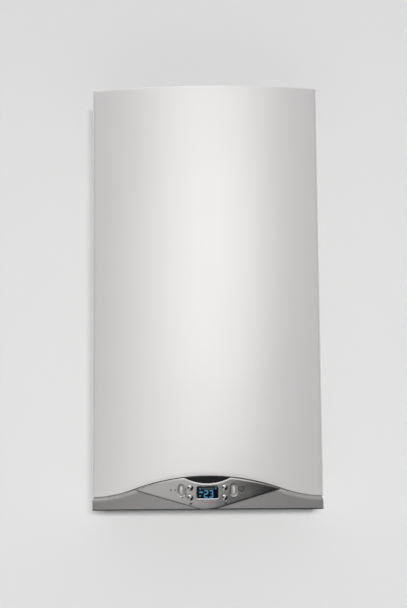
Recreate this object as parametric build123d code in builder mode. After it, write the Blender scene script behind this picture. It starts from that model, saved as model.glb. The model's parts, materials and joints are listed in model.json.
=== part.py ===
"""Wall-hung combi boiler with a bowed front cover and a tilting control panel.

Millimetres. The wall is the plane y = 0 and the front faces -Y; +X is to the right of
someone facing the boiler and +Z is up. The origin is on the wall plane, at the bottom
centre of the casing.
"""

from math import asin, cos, degrees, radians, sin, sqrt, tan
import os

from build123d import *

os.makedirs("parts", exist_ok=True)

# --- Casing ---------------------------------------------------------------------------
case_width = 400.0
case_height = 745.0
side_depth = 289.0  # wall to the front edge of the cover at its sides
bow_rise = 30.0  # how far the crown of the bow stands ahead of the side edges
corner_radius = 7.0  # vertical corners between the bow and the sides
cover_sheet = 1.5
cover_return = 29.5  # how far the cover's sides and top reach back from the bow's edge
casing_sheet = 1.2
panel_gap = 2.0  # between the cover's returns and the side panels
fit_gap = 0.2  # between sheets that lie side by side
seat_gap = 0.3  # under a part that rests on another body
flange_width = 12.0
back_rim = 12.0  # depth of the back frame's rim

# --- Wave between the cover and the fascia --------------------------------------------
wave_crest = 58.0  # height of the cover's lower edge at the middle
wave_end = 23.4  # and at the sides
crest_radius = 384.0
wave_gap = 2.0

# --- Fascia and control panel ---------------------------------------------------------
fascia_wall = 2.5
fascia_roll = 8.0  # radius where the fascia's front rolls over into its top
lens_sheet = 2.5  # the almond panel, flush with the cover
keel_slope = 16.4  # degrees, of the almond's lower edges
keel_drop = 2.0  # how far below the casing those edges would meet
keel_radius = 70.0
badge_radius = 85.0
badge_bottom = 44.5
inlay_gap = 0.15

display_width = 36.0
display_height = 19.6
display_z = 29.0
display_glass_sheet = 2.0
display_recess = 0.5
window_gap = 0.2

button_radius = 4.9
button_hole_radius = 5.2
button_x = 29.4
button_rows = (36.9, 20.3)
button_proud = 1.6
button_travel = 1.2
button_flange_radius = 6.4
button_flange_sheet = 1.2
button_stem_radius = 1.8

wheel_radius = 9.4
wheel_width = 5.0
wheel_x = 44.8
wheel_z = 32.8
wheel_proud = 1.0
wheel_slot_width = 10.5
wheel_slot_height = 19.6
axle_radius = 1.5
running_gap = 0.05  # radial, round shafts and pins

switch_size = 6.0
switch_height = 4.0
board_sheet = 1.6
board_depth = 15.0  # crown of the bow to the display board's front face

# --- Tilt hinge of the control panel --------------------------------------------------
hinge_back = 268.0  # wall to the pivot
hinge_height = 7.0
hinge_boss_radius = 6.0
hinge_pin_radius = 2.5
hinge_boss_length = 7.5
lug_width = 5.0
lug_half_height = 5.5
fascia_back = 262.0  # wall to the fascia's rear edge

# --- Control box ----------------------------------------------------------------------
box_width = 350.0
box_bottom = 10.0
box_top = 118.0
box_back = 205.0  # wall to the box's rear face
box_front = 256.5
box_wall = 2.0
lid_sheet = 2.0
tongue_width = 200.0  # the tongue carries the fascia and the display board

# --- Pipe shelf and connections -------------------------------------------------------
shelf_height = 40.0
shelf_depth = 110.0
tail_pitch = 66.0
tail_back = 70.0  # wall to the tails' axes
tail_end = 8.0
tail_top = 60.0
large_tail_radius = 13.2  # 3/4 inch thread
small_tail_radius = 10.5  # 1/2 inch thread
tail_wall = 3.0
nut_margin = 5.8  # nut's corners beyond the thread
nut_height = 7.0

# --- Sealed chamber -------------------------------------------------------------------
chamber_width = 340.0
chamber_bottom = 250.0
chamber_top = 716.0
chamber_back = 88.0
chamber_front_depth = 241.0
chamber_sheet = 1.0
chamber_rim = 15.0
seal_sheet = 3.0
front_plate_sheet = 1.4
sight_radius = 16.0

# --- Flue -----------------------------------------------------------------------------
flue_back = 142.0  # wall to the flue's axis
air_socket_radius = 50.5  # takes the 100 mm air tube
duct_socket_radius = 30.3  # takes the 60 mm flue tube
collar_wall = 2.0
collar_flange_radius = 72.0
collar_flange_sheet = 3.0
collar_rise = 13.0  # collar's rim above the casing
air_socket_depth = 12.0
gasket_sheet = 2.0

# --- Fan ------------------------------------------------------------------------------
fan_height = 600.0
scroll_radius = 58.0  # at the scroll's tongue
scroll_growth = 7.0  # for each quarter turn
scroll_depth = 47.0
scroll_sheet = 1.5
outlet_width = 56.0
outlet_top = 690.0
impeller_radius = 50.0
fan_shaft_radius = 4.0
blade_count = 20
blade_chord = 8.0
blade_pitch = 35.0  # degrees from the radius
impeller_sheet = 1.5
impeller_shroud = 12.0  # width of the ring around the impeller's eye

# --- Exchanger, combustion case and burner --------------------------------------------
tube_radius = 7.0
tube_count = 5
tube_pitch = 20.0
tube_height = 450.0
first_tube_back = 115.0
fin_count = 36
fin_pitch = 6.0
fin_sheet = 0.6
fin_height = 44.0
fin_margin = 12.0
hearth_bottom = 300.0
insulation_sheet = 12.0
burner_count = 11
burner_pitch = 18.0
burner_width = 8.0
burner_height = 28.0
burner_seat = 270.0

# --- Water side -----------------------------------------------------------------------
pipe_radius = 9.0
pipe_wall = 1.0
bend_radius = 18.0
riser_x = 145.0
vessel_radius = 165.0
vessel_depth = 70.0
vessel_height = 430.0
manifold_top = 130.0
manifold_inner = 50.0
manifold_outer = 150.0
manifold_half_depth = 25.0
pump_x = 115.0
pump_height = 110.0
volute_radius = 40.0
volute_front = 150.0
pump_motor_radius = 36.0
pump_motor_front = 192.0
pump_shaft_radius = 4.0
pump_neck = 25.0  # return manifold to the pump
spindle_radius = 3.0
knob_radius = 12.0
lever_length = 26.0

# --- Derived places -------------------------------------------------------------------
half_width = case_width / 2
crown_depth = side_depth + bow_rise
bow_radius = (half_width**2 + bow_rise**2) / (2 * bow_rise)
bow_centre = bow_radius - crown_depth
through_front = crown_depth + 5
cover_back = side_depth - cover_return
panel_front = cover_back - panel_gap
wave_rise = wave_crest - wave_end
end_radius = (half_width**2 + wave_rise**2) / (2 * wave_rise) - crest_radius
wave_turn = degrees(asin(half_width / (crest_radius + end_radius)))
frame_half = half_width - casing_sheet - fit_gap
frame_top = case_height - casing_sheet - fit_gap
board_front = crown_depth - board_depth
tail_places = {
    "flow": (-2 * tail_pitch, large_tail_radius),
    "hot_water": (-tail_pitch, small_tail_radius),
    "gas": (0.0, large_tail_radius),
    "cold_water": (tail_pitch, small_tail_radius),
    "return": (2 * tail_pitch, large_tail_radius),
}
collar_top = case_height + collar_rise
scroll_back = chamber_back + 30.0
scroll_front = scroll_back + scroll_depth
last_tube_back = first_tube_back + (tube_count - 1) * tube_pitch
fin_back = first_tube_back - fin_margin
fin_front = last_tube_back + fin_margin
fin_half = (fin_count - 1) * fin_pitch / 2
fin_bottom = tube_height - fin_height / 2
fin_top = tube_height + fin_height / 2


# --- Shared shapes --------------------------------------------------------------------
def block(x, y, z, mode=Mode.ADD):
    """A box between two places on each axis."""
    sizes = [abs(side[1] - side[0]) for side in (x, y, z)]
    with Locations(tuple((side[0] + side[1]) / 2 for side in (x, y, z))):
        Box(*sizes, mode=mode)


def post(x, y, z, radius, mode=Mode.ADD):
    """An upright cylinder; z holds its two ends."""
    with Locations((x, y, (z[0] + z[1]) / 2)):
        Cylinder(radius, abs(z[1] - z[0]), mode=mode)


def bar_x(x, y, z, radius, mode=Mode.ADD):
    """A cylinder along X; x holds its two ends."""
    with Locations(Location(((x[0] + x[1]) / 2, y, z), (0, 90, 0))):
        Cylinder(radius, abs(x[1] - x[0]), mode=mode)


def bar_y(x, y, z, radius, mode=Mode.ADD):
    """A cylinder along Y; y holds its two ends."""
    with Locations(Location((x, (y[0] + y[1]) / 2, z), (90, 0, 0))):
        Cylinder(radius, abs(y[1] - y[0]), mode=mode)


def front_y(x, inset=0.0):
    """Place of the bowed front at x, inset towards the wall."""
    return bow_centre - sqrt((bow_radius - inset) ** 2 - x**2)


def bowed_plan(bottom, front_inset, side_inset, rear, radius):
    """Plan of the casing's front: a bow, two rounded corners, two sides and a flat rear."""
    side = half_width - side_inset
    with BuildSketch(Plane.XY.offset(bottom)) as plan:
        with BuildLine():
            bow = ThreePointArc(
                (-side, front_y(side, front_inset)),
                (0, front_y(0, front_inset)),
                (side, front_y(side, front_inset)),
            )
            Polyline(bow @ 1, (side, rear), (-side, rear), bow @ 0)
        make_face()
        fillet(plan.vertices().group_by(Axis.Y)[0], radius)
    return plan.sketch


def below_wave(gap):
    """Everything under the wave, or under a line that runs gap below it."""
    reach = half_width + 10
    side_z = wave_end - gap
    with BuildSketch(Plane.XZ) as region:
        with BuildLine():
            CenterArc(
                (0, wave_crest - crest_radius),
                crest_radius - gap,
                90 - wave_turn,
                2 * wave_turn,
            )
            left = CenterArc(
                (-half_width, wave_end + end_radius), end_radius + gap, 270, wave_turn
            )
            right = CenterArc(
                (half_width, wave_end + end_radius),
                end_radius + gap,
                270 - wave_turn,
                wave_turn,
            )
            Polyline(
                left @ 0,
                (-reach, side_z),
                (-reach, -reach),
                (reach, -reach),
                (reach, side_z),
                right @ 1,
            )
        make_face()
    return region.sketch


def above_keel():
    """Everything above the almond's two sloping lower edges and their rounded keel."""
    shoulder = half_width * tan(radians(keel_slope)) - keel_drop
    with BuildSketch(Plane.XZ) as region:
        with BuildLine() as edge:
            FilletPolyline(
                (-half_width, shoulder),
                (0, -keel_drop),
                (half_width, shoulder),
                radius=keel_radius,
            )
            Polyline(
                edge.line @ 0,
                (-half_width, wave_crest + shoulder),
                (half_width, wave_crest + shoulder),
                edge.line @ 1,
            )
        make_face()
    return region.sketch


def badge_disc(gap):
    """The circle whose lower part bounds the crescent badge."""
    with BuildSketch(Plane.XZ) as region:
        with Locations((0, badge_bottom + badge_radius)):
            Circle(badge_radius + gap)
    return region.sketch


def lens_ring():
    """Plan of the bowed sheet that the almond and the badge are cut from."""
    reach = half_width - corner_radius * 3
    with BuildSketch(Plane.XY.offset(-keel_drop)) as ring:
        with BuildLine():
            outer = ThreePointArc(
                (-reach, front_y(reach)), (0, front_y(0)), (reach, front_y(reach))
            )
            inner = ThreePointArc(
                (-reach, front_y(reach, lens_sheet)),
                (0, front_y(0, lens_sheet)),
                (reach, front_y(reach, lens_sheet)),
            )
            Line(outer @ 0, inner @ 0)
            Line(outer @ 1, inner @ 1)
        make_face()
    return ring.sketch


def panel_openings():
    """Cuts the display window, the button holes and the wheel slots through the active part."""
    with BuildSketch(Plane.XZ) as cuts:
        with Locations((0, display_z)):
            Rectangle(display_width + 2 * window_gap, display_height + 2 * window_gap)
        with Locations([(side * button_x, z) for side in (-1, 1) for z in button_rows]):
            Circle(button_hole_radius)
        with Locations((-wheel_x, wheel_z), (wheel_x, wheel_z)):
            SlotOverall(wheel_slot_height, wheel_slot_width, rotation=90)
    extrude(cuts.sketch, amount=through_front, mode=Mode.SUBTRACT)


def tube(points, radius, wall, bend):
    """A round tube along straight runs joined by tangent arcs."""
    with BuildLine() as route:
        FilletPolyline(*points, radius=bend)
    start = Plane(origin=route.line @ 0, z_dir=route.line % 0)
    with BuildSketch(start) as section:
        Circle(radius)
        if wall:
            Circle(radius - wall, mode=Mode.SUBTRACT)
    sweep(sections=section.sketch, path=route.line)


def write(builder, name):
    """Labels a finished piece and writes it."""
    builder.part.label = name
    export_step(builder.part, f"parts/{name}.step")


# --- Wall bracket and back frame ------------------------------------------------------
bracket_half = 160.0
bracket_bottom = 662.0
bracket_top = 700.0
bracket_sheet = 2.0
fixing_spacing = 280.0
fixing_radius = 4.5
fixing_height = 676.0
hook_x = 100.0
hook_half = 15.0
hook_rise = 12.0
hook_gap = 0.8

plate_back = back_rim - casing_sheet
hook_front = back_rim + hook_gap + bracket_sheet

with BuildPart() as wall_bracket:
    block((-bracket_half, bracket_half), (-bracket_sheet, 0), (bracket_bottom, bracket_top))
    for side in (-1, 1):
        across = (side * hook_x - hook_half, side * hook_x + hook_half)
        block(across, (-hook_front, 0), (bracket_top - bracket_sheet, bracket_top))
        block(
            across,
            (-hook_front, -hook_front + bracket_sheet),
            (bracket_top - bracket_sheet, bracket_top + hook_rise),
        )
        fixing_x = side * fixing_spacing / 2
        bar_y(fixing_x, (-bracket_sheet, 0), fixing_height, fixing_radius, Mode.SUBTRACT)
write(wall_bracket, "wall_bracket")

with BuildPart() as back_frame:
    block((-frame_half, frame_half), (-back_rim, 0), (0, frame_top))
    block(
        (-frame_half + casing_sheet, frame_half - casing_sheet),
        (-plate_back, 0),
        (casing_sheet, frame_top - casing_sheet),
        Mode.SUBTRACT,
    )
    for side in (-1, 1):
        block(
            (side * hook_x - hook_half - 2, side * hook_x + hook_half + 2),
            (-back_rim, -plate_back),
            (bracket_top - bracket_sheet - hook_rise - 2, bracket_top + seat_gap),
            Mode.SUBTRACT,
        )
write(back_frame, "back_frame")

# --- Side panels, with the tabs that carry the cover ----------------------------------
tab_top = 58.5
tab_width = 10.0
tab_front = 284.0
dowel_x = 191.5
dowel_back = 274.0
dowel_radius = 2.5
flange_inner = frame_half + fit_gap - flange_width

with BuildPart() as side_panels:
    for side in (-1, 1):
        outer = side * half_width
        inner = side * (half_width - casing_sheet)
        block((inner, outer), (-panel_front, 0), (0, case_height))
        for near, far, low in (
            (panel_front, panel_front - casing_sheet, 15.0),
            (back_rim + casing_sheet, back_rim, 15.0),
        ):
            block((side * flange_inner, inner), (-near, -far), (low, case_height - 15))
        block(
            (side * flange_inner, side * (flange_inner + tab_width)),
            (-tab_front, -panel_front + casing_sheet),
            (tab_top - casing_sheet, tab_top),
        )
        post(
            side * dowel_x,
            -dowel_back,
            (tab_top - casing_sheet, tab_top),
            dowel_radius,
            Mode.SUBTRACT,
        )
write(side_panels, "side_panels")

# --- Top panel, with the lip that carries the cover's top -----------------------------
lip_half = 176.0
lip_front = 275.0
lip_top = case_height - cover_sheet - seat_gap
collar_hole_radius = air_socket_radius + collar_wall + 1

with BuildPart() as top_panel:
    block((-frame_half, frame_half), (-panel_front, 0), (case_height - casing_sheet, case_height))
    block(
        (-lip_half, lip_half),
        (-panel_front, -panel_front + casing_sheet),
        (lip_top - casing_sheet - 5, case_height),
    )
    block(
        (-lip_half, lip_half),
        (-lip_front, -panel_front + casing_sheet),
        (lip_top - casing_sheet, lip_top),
    )
    post(0, -flue_back, (case_height - casing_sheet, case_height), collar_hole_radius, Mode.SUBTRACT)
write(top_panel, "top_panel")

# --- Lower rail with the hinge lugs and pins ------------------------------------------
rail_sheet = 1.5
rail_back = 240.0
lug_inner = half_width - fascia_wall - hinge_boss_length - 1 - lug_width
lug_outer = lug_inner + lug_width
pin_end = half_width - fascia_wall - 1

with BuildPart() as lower_rail:
    block((-frame_half, frame_half), (-panel_front + 0.5, -rail_back), (0, rail_sheet))
    block((-frame_half, frame_half), (-rail_back - rail_sheet, -rail_back), (0, box_bottom - 2))
    for side in (-1, 1):
        block(
            (side * lug_inner, side * lug_outer),
            (-hinge_back - hinge_boss_radius, -rail_back),
            (hinge_height - lug_half_height, hinge_height + hinge_boss_radius),
        )
        bar_x((side * lug_inner, side * pin_end), -hinge_back, hinge_height, hinge_pin_radius)
write(lower_rail, "lower_rail")

# --- Pipe shelf -----------------------------------------------------------------------
shelf_sheet = 1.5
tail_gap = 1.0

with BuildPart() as pipe_shelf:
    block(
        (-flange_inner, flange_inner),
        (-shelf_depth, -back_rim),
        (shelf_height, shelf_height + shelf_sheet),
    )
    block(
        (-flange_inner, flange_inner),
        (-shelf_depth, -shelf_depth + shelf_sheet),
        (shelf_height, shelf_height + 14),
    )
    block(
        (-flange_inner, flange_inner),
        (-back_rim - shelf_sheet, -back_rim),
        (shelf_height, shelf_height + 20),
    )
    for side in (-1, 1):
        block(
            (side * flange_inner, side * frame_half),
            (-shelf_depth, -back_rim - 2 * shelf_sheet),
            (shelf_height, shelf_height + shelf_sheet),
        )
    sheet_span = (shelf_height, shelf_height + shelf_sheet)
    for x, radius in tail_places.values():
        post(x, -tail_back, sheet_span, radius + tail_gap, Mode.SUBTRACT)
write(pipe_shelf, "pipe_shelf")

with BuildPart() as connection_tails:
    for x, radius in tail_places.values():
        post(x, -tail_back, (tail_end, tail_top), radius)
        with BuildSketch(Plane.XY.offset(shelf_height - nut_height)) as nut:
            with Locations((x, -tail_back)):
                RegularPolygon(radius + nut_margin, 6)
        extrude(amount=nut_height)
        post(x, -tail_back, (tail_end, tail_top), radius - tail_wall, Mode.SUBTRACT)
write(connection_tails, "connection_tails")

# --- Sealed chamber -------------------------------------------------------------------
chamber_half = chamber_width / 2
bracket_height = 480.0
pipe_hole_radius = pipe_radius + 1
gas_riser_back = 228.0
chamber_mouth = chamber_half - chamber_rim

with BuildPart() as chamber_box:
    block(
        (-chamber_half, chamber_half),
        (-chamber_front_depth, -chamber_back),
        (chamber_bottom, chamber_top),
    )
    block(
        (-chamber_half + chamber_sheet, chamber_half - chamber_sheet),
        (-chamber_front_depth + chamber_sheet, -chamber_back - chamber_sheet),
        (chamber_bottom + chamber_sheet, chamber_top - chamber_sheet),
        Mode.SUBTRACT,
    )
    block(
        (-chamber_mouth, chamber_mouth),
        (-chamber_front_depth, -chamber_front_depth + chamber_sheet),
        (chamber_bottom + chamber_rim, chamber_top - chamber_rim),
        Mode.SUBTRACT,
    )
    for side in (-1, 1):
        block(
            (side * chamber_half, side * (frame_half + fit_gap)),
            (-chamber_front_depth + 20, -chamber_back - 20),
            (bracket_height, bracket_height + 1.5),
        )
        block(
            (side * (frame_half + fit_gap - 1.5), side * (frame_half + fit_gap)),
            (-chamber_front_depth + 20, -chamber_back - 20),
            (bracket_height - 20, bracket_height),
        )
    floor = (chamber_bottom, chamber_bottom + chamber_sheet)
    post(riser_x, -first_tube_back, floor, pipe_hole_radius, Mode.SUBTRACT)
    post(-riser_x, -last_tube_back, floor, pipe_hole_radius, Mode.SUBTRACT)
    post(0, -gas_riser_back, floor, pipe_hole_radius, Mode.SUBTRACT)
    post(
        0,
        -flue_back,
        (chamber_top - chamber_sheet, chamber_top),
        air_socket_radius + 1,
        Mode.SUBTRACT,
    )
write(chamber_box, "chamber_box")

seal_back = chamber_front_depth
plate_back_depth = seal_back + seal_sheet
plate_front_depth = plate_back_depth + front_plate_sheet
screw_radius = 2.0
screw_head_radius = 4.0
screw_head = 2.2
screw_rows = (
    chamber_bottom + chamber_rim / 2,
    (chamber_bottom + chamber_top) / 2,
    chamber_top - chamber_rim / 2,
)
chamber_screw_places = [
    (side * (chamber_half - chamber_rim / 2), z) for side in (-1, 1) for z in screw_rows
]
sight_height = 340.0
sight_glass_radius = sight_radius + 5

with BuildPart() as chamber_seal:
    block(
        (-chamber_half, chamber_half),
        (-plate_back_depth, -seal_back),
        (chamber_bottom, chamber_top),
    )
    block(
        (-chamber_mouth, chamber_mouth),
        (-plate_back_depth, -seal_back),
        (chamber_bottom + chamber_rim, chamber_top - chamber_rim),
        Mode.SUBTRACT,
    )
    for x, z in chamber_screw_places:
        bar_y(x, (-plate_back_depth, -seal_back), z, screw_radius, Mode.SUBTRACT)
write(chamber_seal, "chamber_seal")

with BuildPart() as chamber_front:
    block(
        (-chamber_half, chamber_half),
        (-plate_front_depth, -plate_back_depth),
        (chamber_bottom, chamber_top),
    )
    for x, z in chamber_screw_places:
        bar_y(x, (-plate_front_depth, -plate_back_depth), z, screw_radius, Mode.SUBTRACT)
    bar_y(0, (-plate_front_depth, -plate_back_depth), sight_height, sight_radius, Mode.SUBTRACT)
    with BuildSketch(Plane.XZ.offset(plate_front_depth)) as swage:
        with Locations((0, (chamber_bottom + chamber_top) / 2 + 60)):
            RectangleRounded(chamber_width - 110, 240, 20)
            RectangleRounded(chamber_width - 122, 228, 16, mode=Mode.SUBTRACT)
    extrude(amount=1.5)
write(chamber_front, "chamber_front")

with BuildPart() as sight_glass:
    bar_y(0, (-plate_back_depth, -plate_back_depth + 3), sight_height, sight_glass_radius)
write(sight_glass, "sight_glass")

# --- Flue collar and gasket -----------------------------------------------------------
flange_bottom = case_height + gasket_sheet
air_floor = collar_top - air_socket_depth
duct_outer_radius = duct_socket_radius + collar_wall
spigot_radius = 29.8
spigot_top = outlet_top + 22
spigot_gap = 1.2
counterbore_top = spigot_top + 2
collar_bottom = outlet_top + 10

with BuildPart() as flue_collar:
    post(0, -flue_back, (flange_bottom, flange_bottom + collar_flange_sheet), collar_flange_radius)
    post(0, -flue_back, (chamber_top - 4, collar_top), air_socket_radius + collar_wall - 1)
    post(0, -flue_back, (case_height, collar_top), air_socket_radius + collar_wall)
    post(0, -flue_back, (air_floor, collar_top), air_socket_radius, Mode.SUBTRACT)
    post(0, -flue_back, (chamber_top - 4, air_floor - 3), air_socket_radius - 1, Mode.SUBTRACT)
    post(0, -flue_back, (collar_bottom, air_floor), duct_outer_radius)
    post(0, -flue_back, (collar_bottom, air_floor), duct_socket_radius, Mode.SUBTRACT)
    post(0, -flue_back, (collar_bottom, counterbore_top), spigot_radius + spigot_gap, Mode.SUBTRACT)
    with BuildSketch(Plane.XY.offset(air_floor - 3)) as air_holes:
        with Locations((0, -flue_back)):
            with PolarLocations((air_socket_radius + duct_outer_radius) / 2, 12):
                Circle(3.6)
    extrude(amount=3, mode=Mode.SUBTRACT)
write(flue_collar, "flue_collar")

with BuildPart() as flue_gasket:
    post(0, -flue_back, (case_height, flange_bottom), collar_flange_radius)
    post(0, -flue_back, (case_height, flange_bottom), collar_hole_radius, Mode.SUBTRACT)
write(flue_gasket, "flue_gasket")

# --- Fan ------------------------------------------------------------------------------
last_scroll_radius = scroll_radius + 2 * scroll_growth
fan_x = outlet_width / 2 - last_scroll_radius - scroll_growth


def scroll_outline(inset, top):
    """Spiral of three quarter arcs, each one step larger, ending in an upright outlet."""
    first = scroll_radius - inset
    second = first + scroll_growth
    third = second + scroll_growth
    second_x = fan_x + scroll_growth
    third_z = fan_height + scroll_growth
    with BuildSketch(Plane.XZ.offset(scroll_back + inset)) as outline:
        with BuildLine():
            start = CenterArc((fan_x, fan_height), first, 90, 90)
            CenterArc((second_x, fan_height), second, 180, 90)
            end = CenterArc((second_x, third_z), third, 270, 90)
            Polyline(
                end @ 1,
                (second_x + third, top),
                (second_x + third - outlet_width + 2 * inset, top),
                (second_x + third - outlet_width + 2 * inset, fan_height + first),
                start @ 0,
            )
        make_face()
    return outline.sketch


inlet_radius = 33.0
motor_hole_radius = 20.0
spigot_bottom = outlet_top - scroll_sheet

with BuildPart() as fan_scroll:
    extrude(scroll_outline(0, outlet_top), amount=scroll_depth)
    extrude(
        scroll_outline(scroll_sheet, outlet_top - scroll_sheet),
        amount=scroll_depth - 2 * scroll_sheet,
        mode=Mode.SUBTRACT,
    )
    post(0, -flue_back, (outlet_top, spigot_top), spigot_radius)
    post(0, -flue_back, (spigot_bottom, spigot_top), scroll_depth / 2 - scroll_sheet, Mode.SUBTRACT)
    bar_y(fan_x, (-scroll_back - scroll_sheet, -scroll_back), fan_height, inlet_radius, Mode.SUBTRACT)
    bar_y(
        fan_x,
        (-scroll_front, -scroll_front + scroll_sheet),
        fan_height,
        motor_hole_radius,
        Mode.SUBTRACT,
    )
write(fan_scroll, "fan_scroll")

motor_front = chamber_front_depth - 16
fan_motor_radius = 36.0
impeller_gap = 5.0
impeller_back = scroll_back + impeller_gap
impeller_front = scroll_front - impeller_gap
shaft_front = motor_front - 12

with BuildPart() as fan_motor:
    bar_y(fan_x, (-scroll_front - 6, -scroll_front), fan_height, fan_motor_radius + 8)
    bar_y(fan_x, (-motor_front, -scroll_front - 6), fan_height, fan_motor_radius)
    fillet(fan_motor.edges().sort_by(Axis.Y)[0], 4)
    for turn in range(3):
        angle = radians(90 + 120 * turn)
        bar_y(
            fan_x + (fan_motor_radius + 3) * cos(angle),
            (-motor_front + 14, -scroll_front - 6),
            fan_height + (fan_motor_radius + 3) * sin(angle),
            3.0,
        )
    bar_y(
        fan_x,
        (-shaft_front - 0.5, -scroll_front),
        fan_height,
        fan_shaft_radius + running_gap,
        Mode.SUBTRACT,
    )
write(fan_motor, "fan_motor")

with BuildPart() as fan_impeller:
    bar_y(fan_x, (-impeller_front, -impeller_front + impeller_sheet), fan_height, impeller_radius)
    bar_y(fan_x, (-impeller_back - impeller_sheet, -impeller_back), fan_height, impeller_radius)
    bar_y(
        fan_x,
        (-impeller_back - impeller_sheet, -impeller_back),
        fan_height,
        impeller_radius - impeller_shroud,
        Mode.SUBTRACT,
    )
    bar_y(fan_x, (-shaft_front, -impeller_front + 14), fan_height, fan_shaft_radius)
    with BuildSketch(Plane.XZ.offset(impeller_back)) as blades:
        with Locations((fan_x, fan_height)):
            with PolarLocations(impeller_radius - blade_chord / 2 - 1, blade_count):
                Rectangle(blade_chord, 1.2, rotation=blade_pitch)
    extrude(amount=impeller_front - impeller_back)
write(fan_impeller, "fan_impeller")

# --- Flue hood ------------------------------------------------------------------------
hood_half = fin_half + 6
hood_sheet = 1.0
riser_half = 45.0
riser_bottom = 530.0
riser_top = 645.0
riser_back = chamber_back + 3.0


def hood_solid(inset, base, riser_base, cap):
    """Tapered hood over the exchanger and the flat riser behind the fan."""
    with BuildSketch(Plane.XY.offset(base)) as wide:
        with Locations((0, -(fin_back + fin_front) / 2)):
            Rectangle(2 * (hood_half - inset), fin_front - fin_back - 2 * inset)
    with BuildSketch(Plane.XY.offset(riser_base)) as narrow:
        with Locations((fan_x, -(riser_back + scroll_back) / 2)):
            Rectangle(2 * (riser_half - inset), scroll_back - riser_back - 2 * inset)
    loft(sections=[wide.sketch, narrow.sketch], ruled=True)
    block(
        (fan_x - riser_half + inset, fan_x + riser_half - inset),
        (-scroll_back + inset, -riser_back - inset),
        (riser_base, cap),
    )


with BuildPart() as hood_space:
    hood_solid(hood_sheet, fin_top, riser_bottom, riser_top - hood_sheet)

with BuildPart() as flue_hood:
    hood_solid(0, fin_top, riser_bottom, riser_top)
    add(hood_space.part, mode=Mode.SUBTRACT)
    bar_y(fan_x, (-scroll_back, -scroll_back + hood_sheet), fan_height, inlet_radius, Mode.SUBTRACT)
write(flue_hood, "flue_hood")

# --- Primary exchanger ----------------------------------------------------------------
bore_gap = 0.1
fin_faces = [-fin_half + n * fin_pitch for n in range(fin_count)]
tube_places = [-(first_tube_back + n * tube_pitch) for n in range(tube_count)]
u_bend_x = fin_half + 8

with BuildPart() as exchanger_fins:
    with BuildSketch(Plane.YZ.offset(fin_faces[0] - fin_sheet / 2)) as fin:
        with Locations((-(fin_back + fin_front) / 2, tube_height)):
            Rectangle(fin_front - fin_back, fin_height)
        with Locations([(y, tube_height) for y in tube_places]):
            Circle(tube_radius + bore_gap, mode=Mode.SUBTRACT)
    one_fin = extrude(amount=fin_sheet)
    with Locations([(n * fin_pitch, 0, 0) for n in range(1, fin_count)]):
        add(one_fin)
write(exchanger_fins, "exchanger_fins")

with BuildPart() as exchanger_tubes:
    with BuildLine(Plane.XY.offset(tube_height)) as serpent:
        side = 1
        Line((riser_x - bend_radius, tube_places[0]), (u_bend_x, tube_places[0]))
        for n, y in enumerate(tube_places):
            Line((side * u_bend_x, y), (-side * u_bend_x, y))
            if n < tube_count - 1:
                ThreePointArc(
                    (-side * u_bend_x, y),
                    (-side * (u_bend_x + tube_pitch / 2), y - tube_pitch / 2),
                    (-side * u_bend_x, y - tube_pitch),
                )
            side = -side
        Line((-u_bend_x, tube_places[-1]), (-riser_x + bend_radius, tube_places[-1]))
    with BuildSketch(Plane(origin=serpent.line @ 0, z_dir=serpent.line % 0)) as bore:
        Circle(tube_radius)
        Circle(tube_radius - pipe_wall, mode=Mode.SUBTRACT)
    sweep(sections=bore.sketch, path=serpent.line)
write(exchanger_tubes, "exchanger_tubes")

# --- Combustion case, insulation and burner -------------------------------------------
hearth_sheet = 1.0
hearth_half = fin_half + 6
insulation_gap = 0.2

with BuildPart() as combustion_case:
    block((-hearth_half, hearth_half), (-fin_front, -fin_back), (hearth_bottom, fin_bottom))
    block(
        (-hearth_half + hearth_sheet, hearth_half - hearth_sheet),
        (-fin_front + hearth_sheet, -fin_back - hearth_sheet),
        (hearth_bottom, fin_bottom),
        Mode.SUBTRACT,
    )
    bar_y(0, (-fin_front, -fin_front + hearth_sheet), sight_height, sight_radius, Mode.SUBTRACT)
write(combustion_case, "combustion_case")

lining = hearth_sheet + insulation_gap

with BuildPart() as insulation_boards:
    outer_x = hearth_half - lining
    lining_z = (hearth_bottom + 1, fin_bottom - 1)
    for front in (-fin_front + lining, -fin_back - lining - insulation_sheet):
        block((-outer_x, outer_x), (front, front + insulation_sheet), lining_z)
    for side in (-1, 1):
        block(
            (side * (outer_x - insulation_sheet), side * outer_x),
            (-fin_front + lining + insulation_sheet, -fin_back - lining - insulation_sheet),
            lining_z,
        )
    bar_y(
        0,
        (-fin_front, -fin_front + lining + insulation_sheet),
        sight_height,
        sight_radius,
        Mode.SUBTRACT,
    )
write(insulation_boards, "insulation_boards")

burner_floor = chamber_bottom + chamber_sheet
burner_places = [(n - (burner_count - 1) / 2) * burner_pitch for n in range(burner_count)]
rail_depth = 10.0
burner_z = burner_seat + 9
injector_radius = 3.0
injector_hole = 6.0

with BuildPart() as burner_frame:
    block((-hearth_half, hearth_half), (-fin_front, -fin_back), (burner_floor, hearth_bottom))
    block(
        (-hearth_half + hearth_sheet, hearth_half - hearth_sheet),
        (-fin_front + hearth_sheet, -fin_back - hearth_sheet),
        (burner_floor, hearth_bottom),
        Mode.SUBTRACT,
    )
    for near in (-fin_front + hearth_sheet, -fin_back - hearth_sheet - rail_depth):
        block(
            (-hearth_half + hearth_sheet, hearth_half - hearth_sheet),
            (near, near + rail_depth),
            (burner_seat - 8, burner_seat),
        )
    for x in burner_places:
        bar_y(x, (-fin_front, -fin_front + hearth_sheet), burner_z, injector_hole, Mode.SUBTRACT)
write(burner_frame, "burner_frame")

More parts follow.
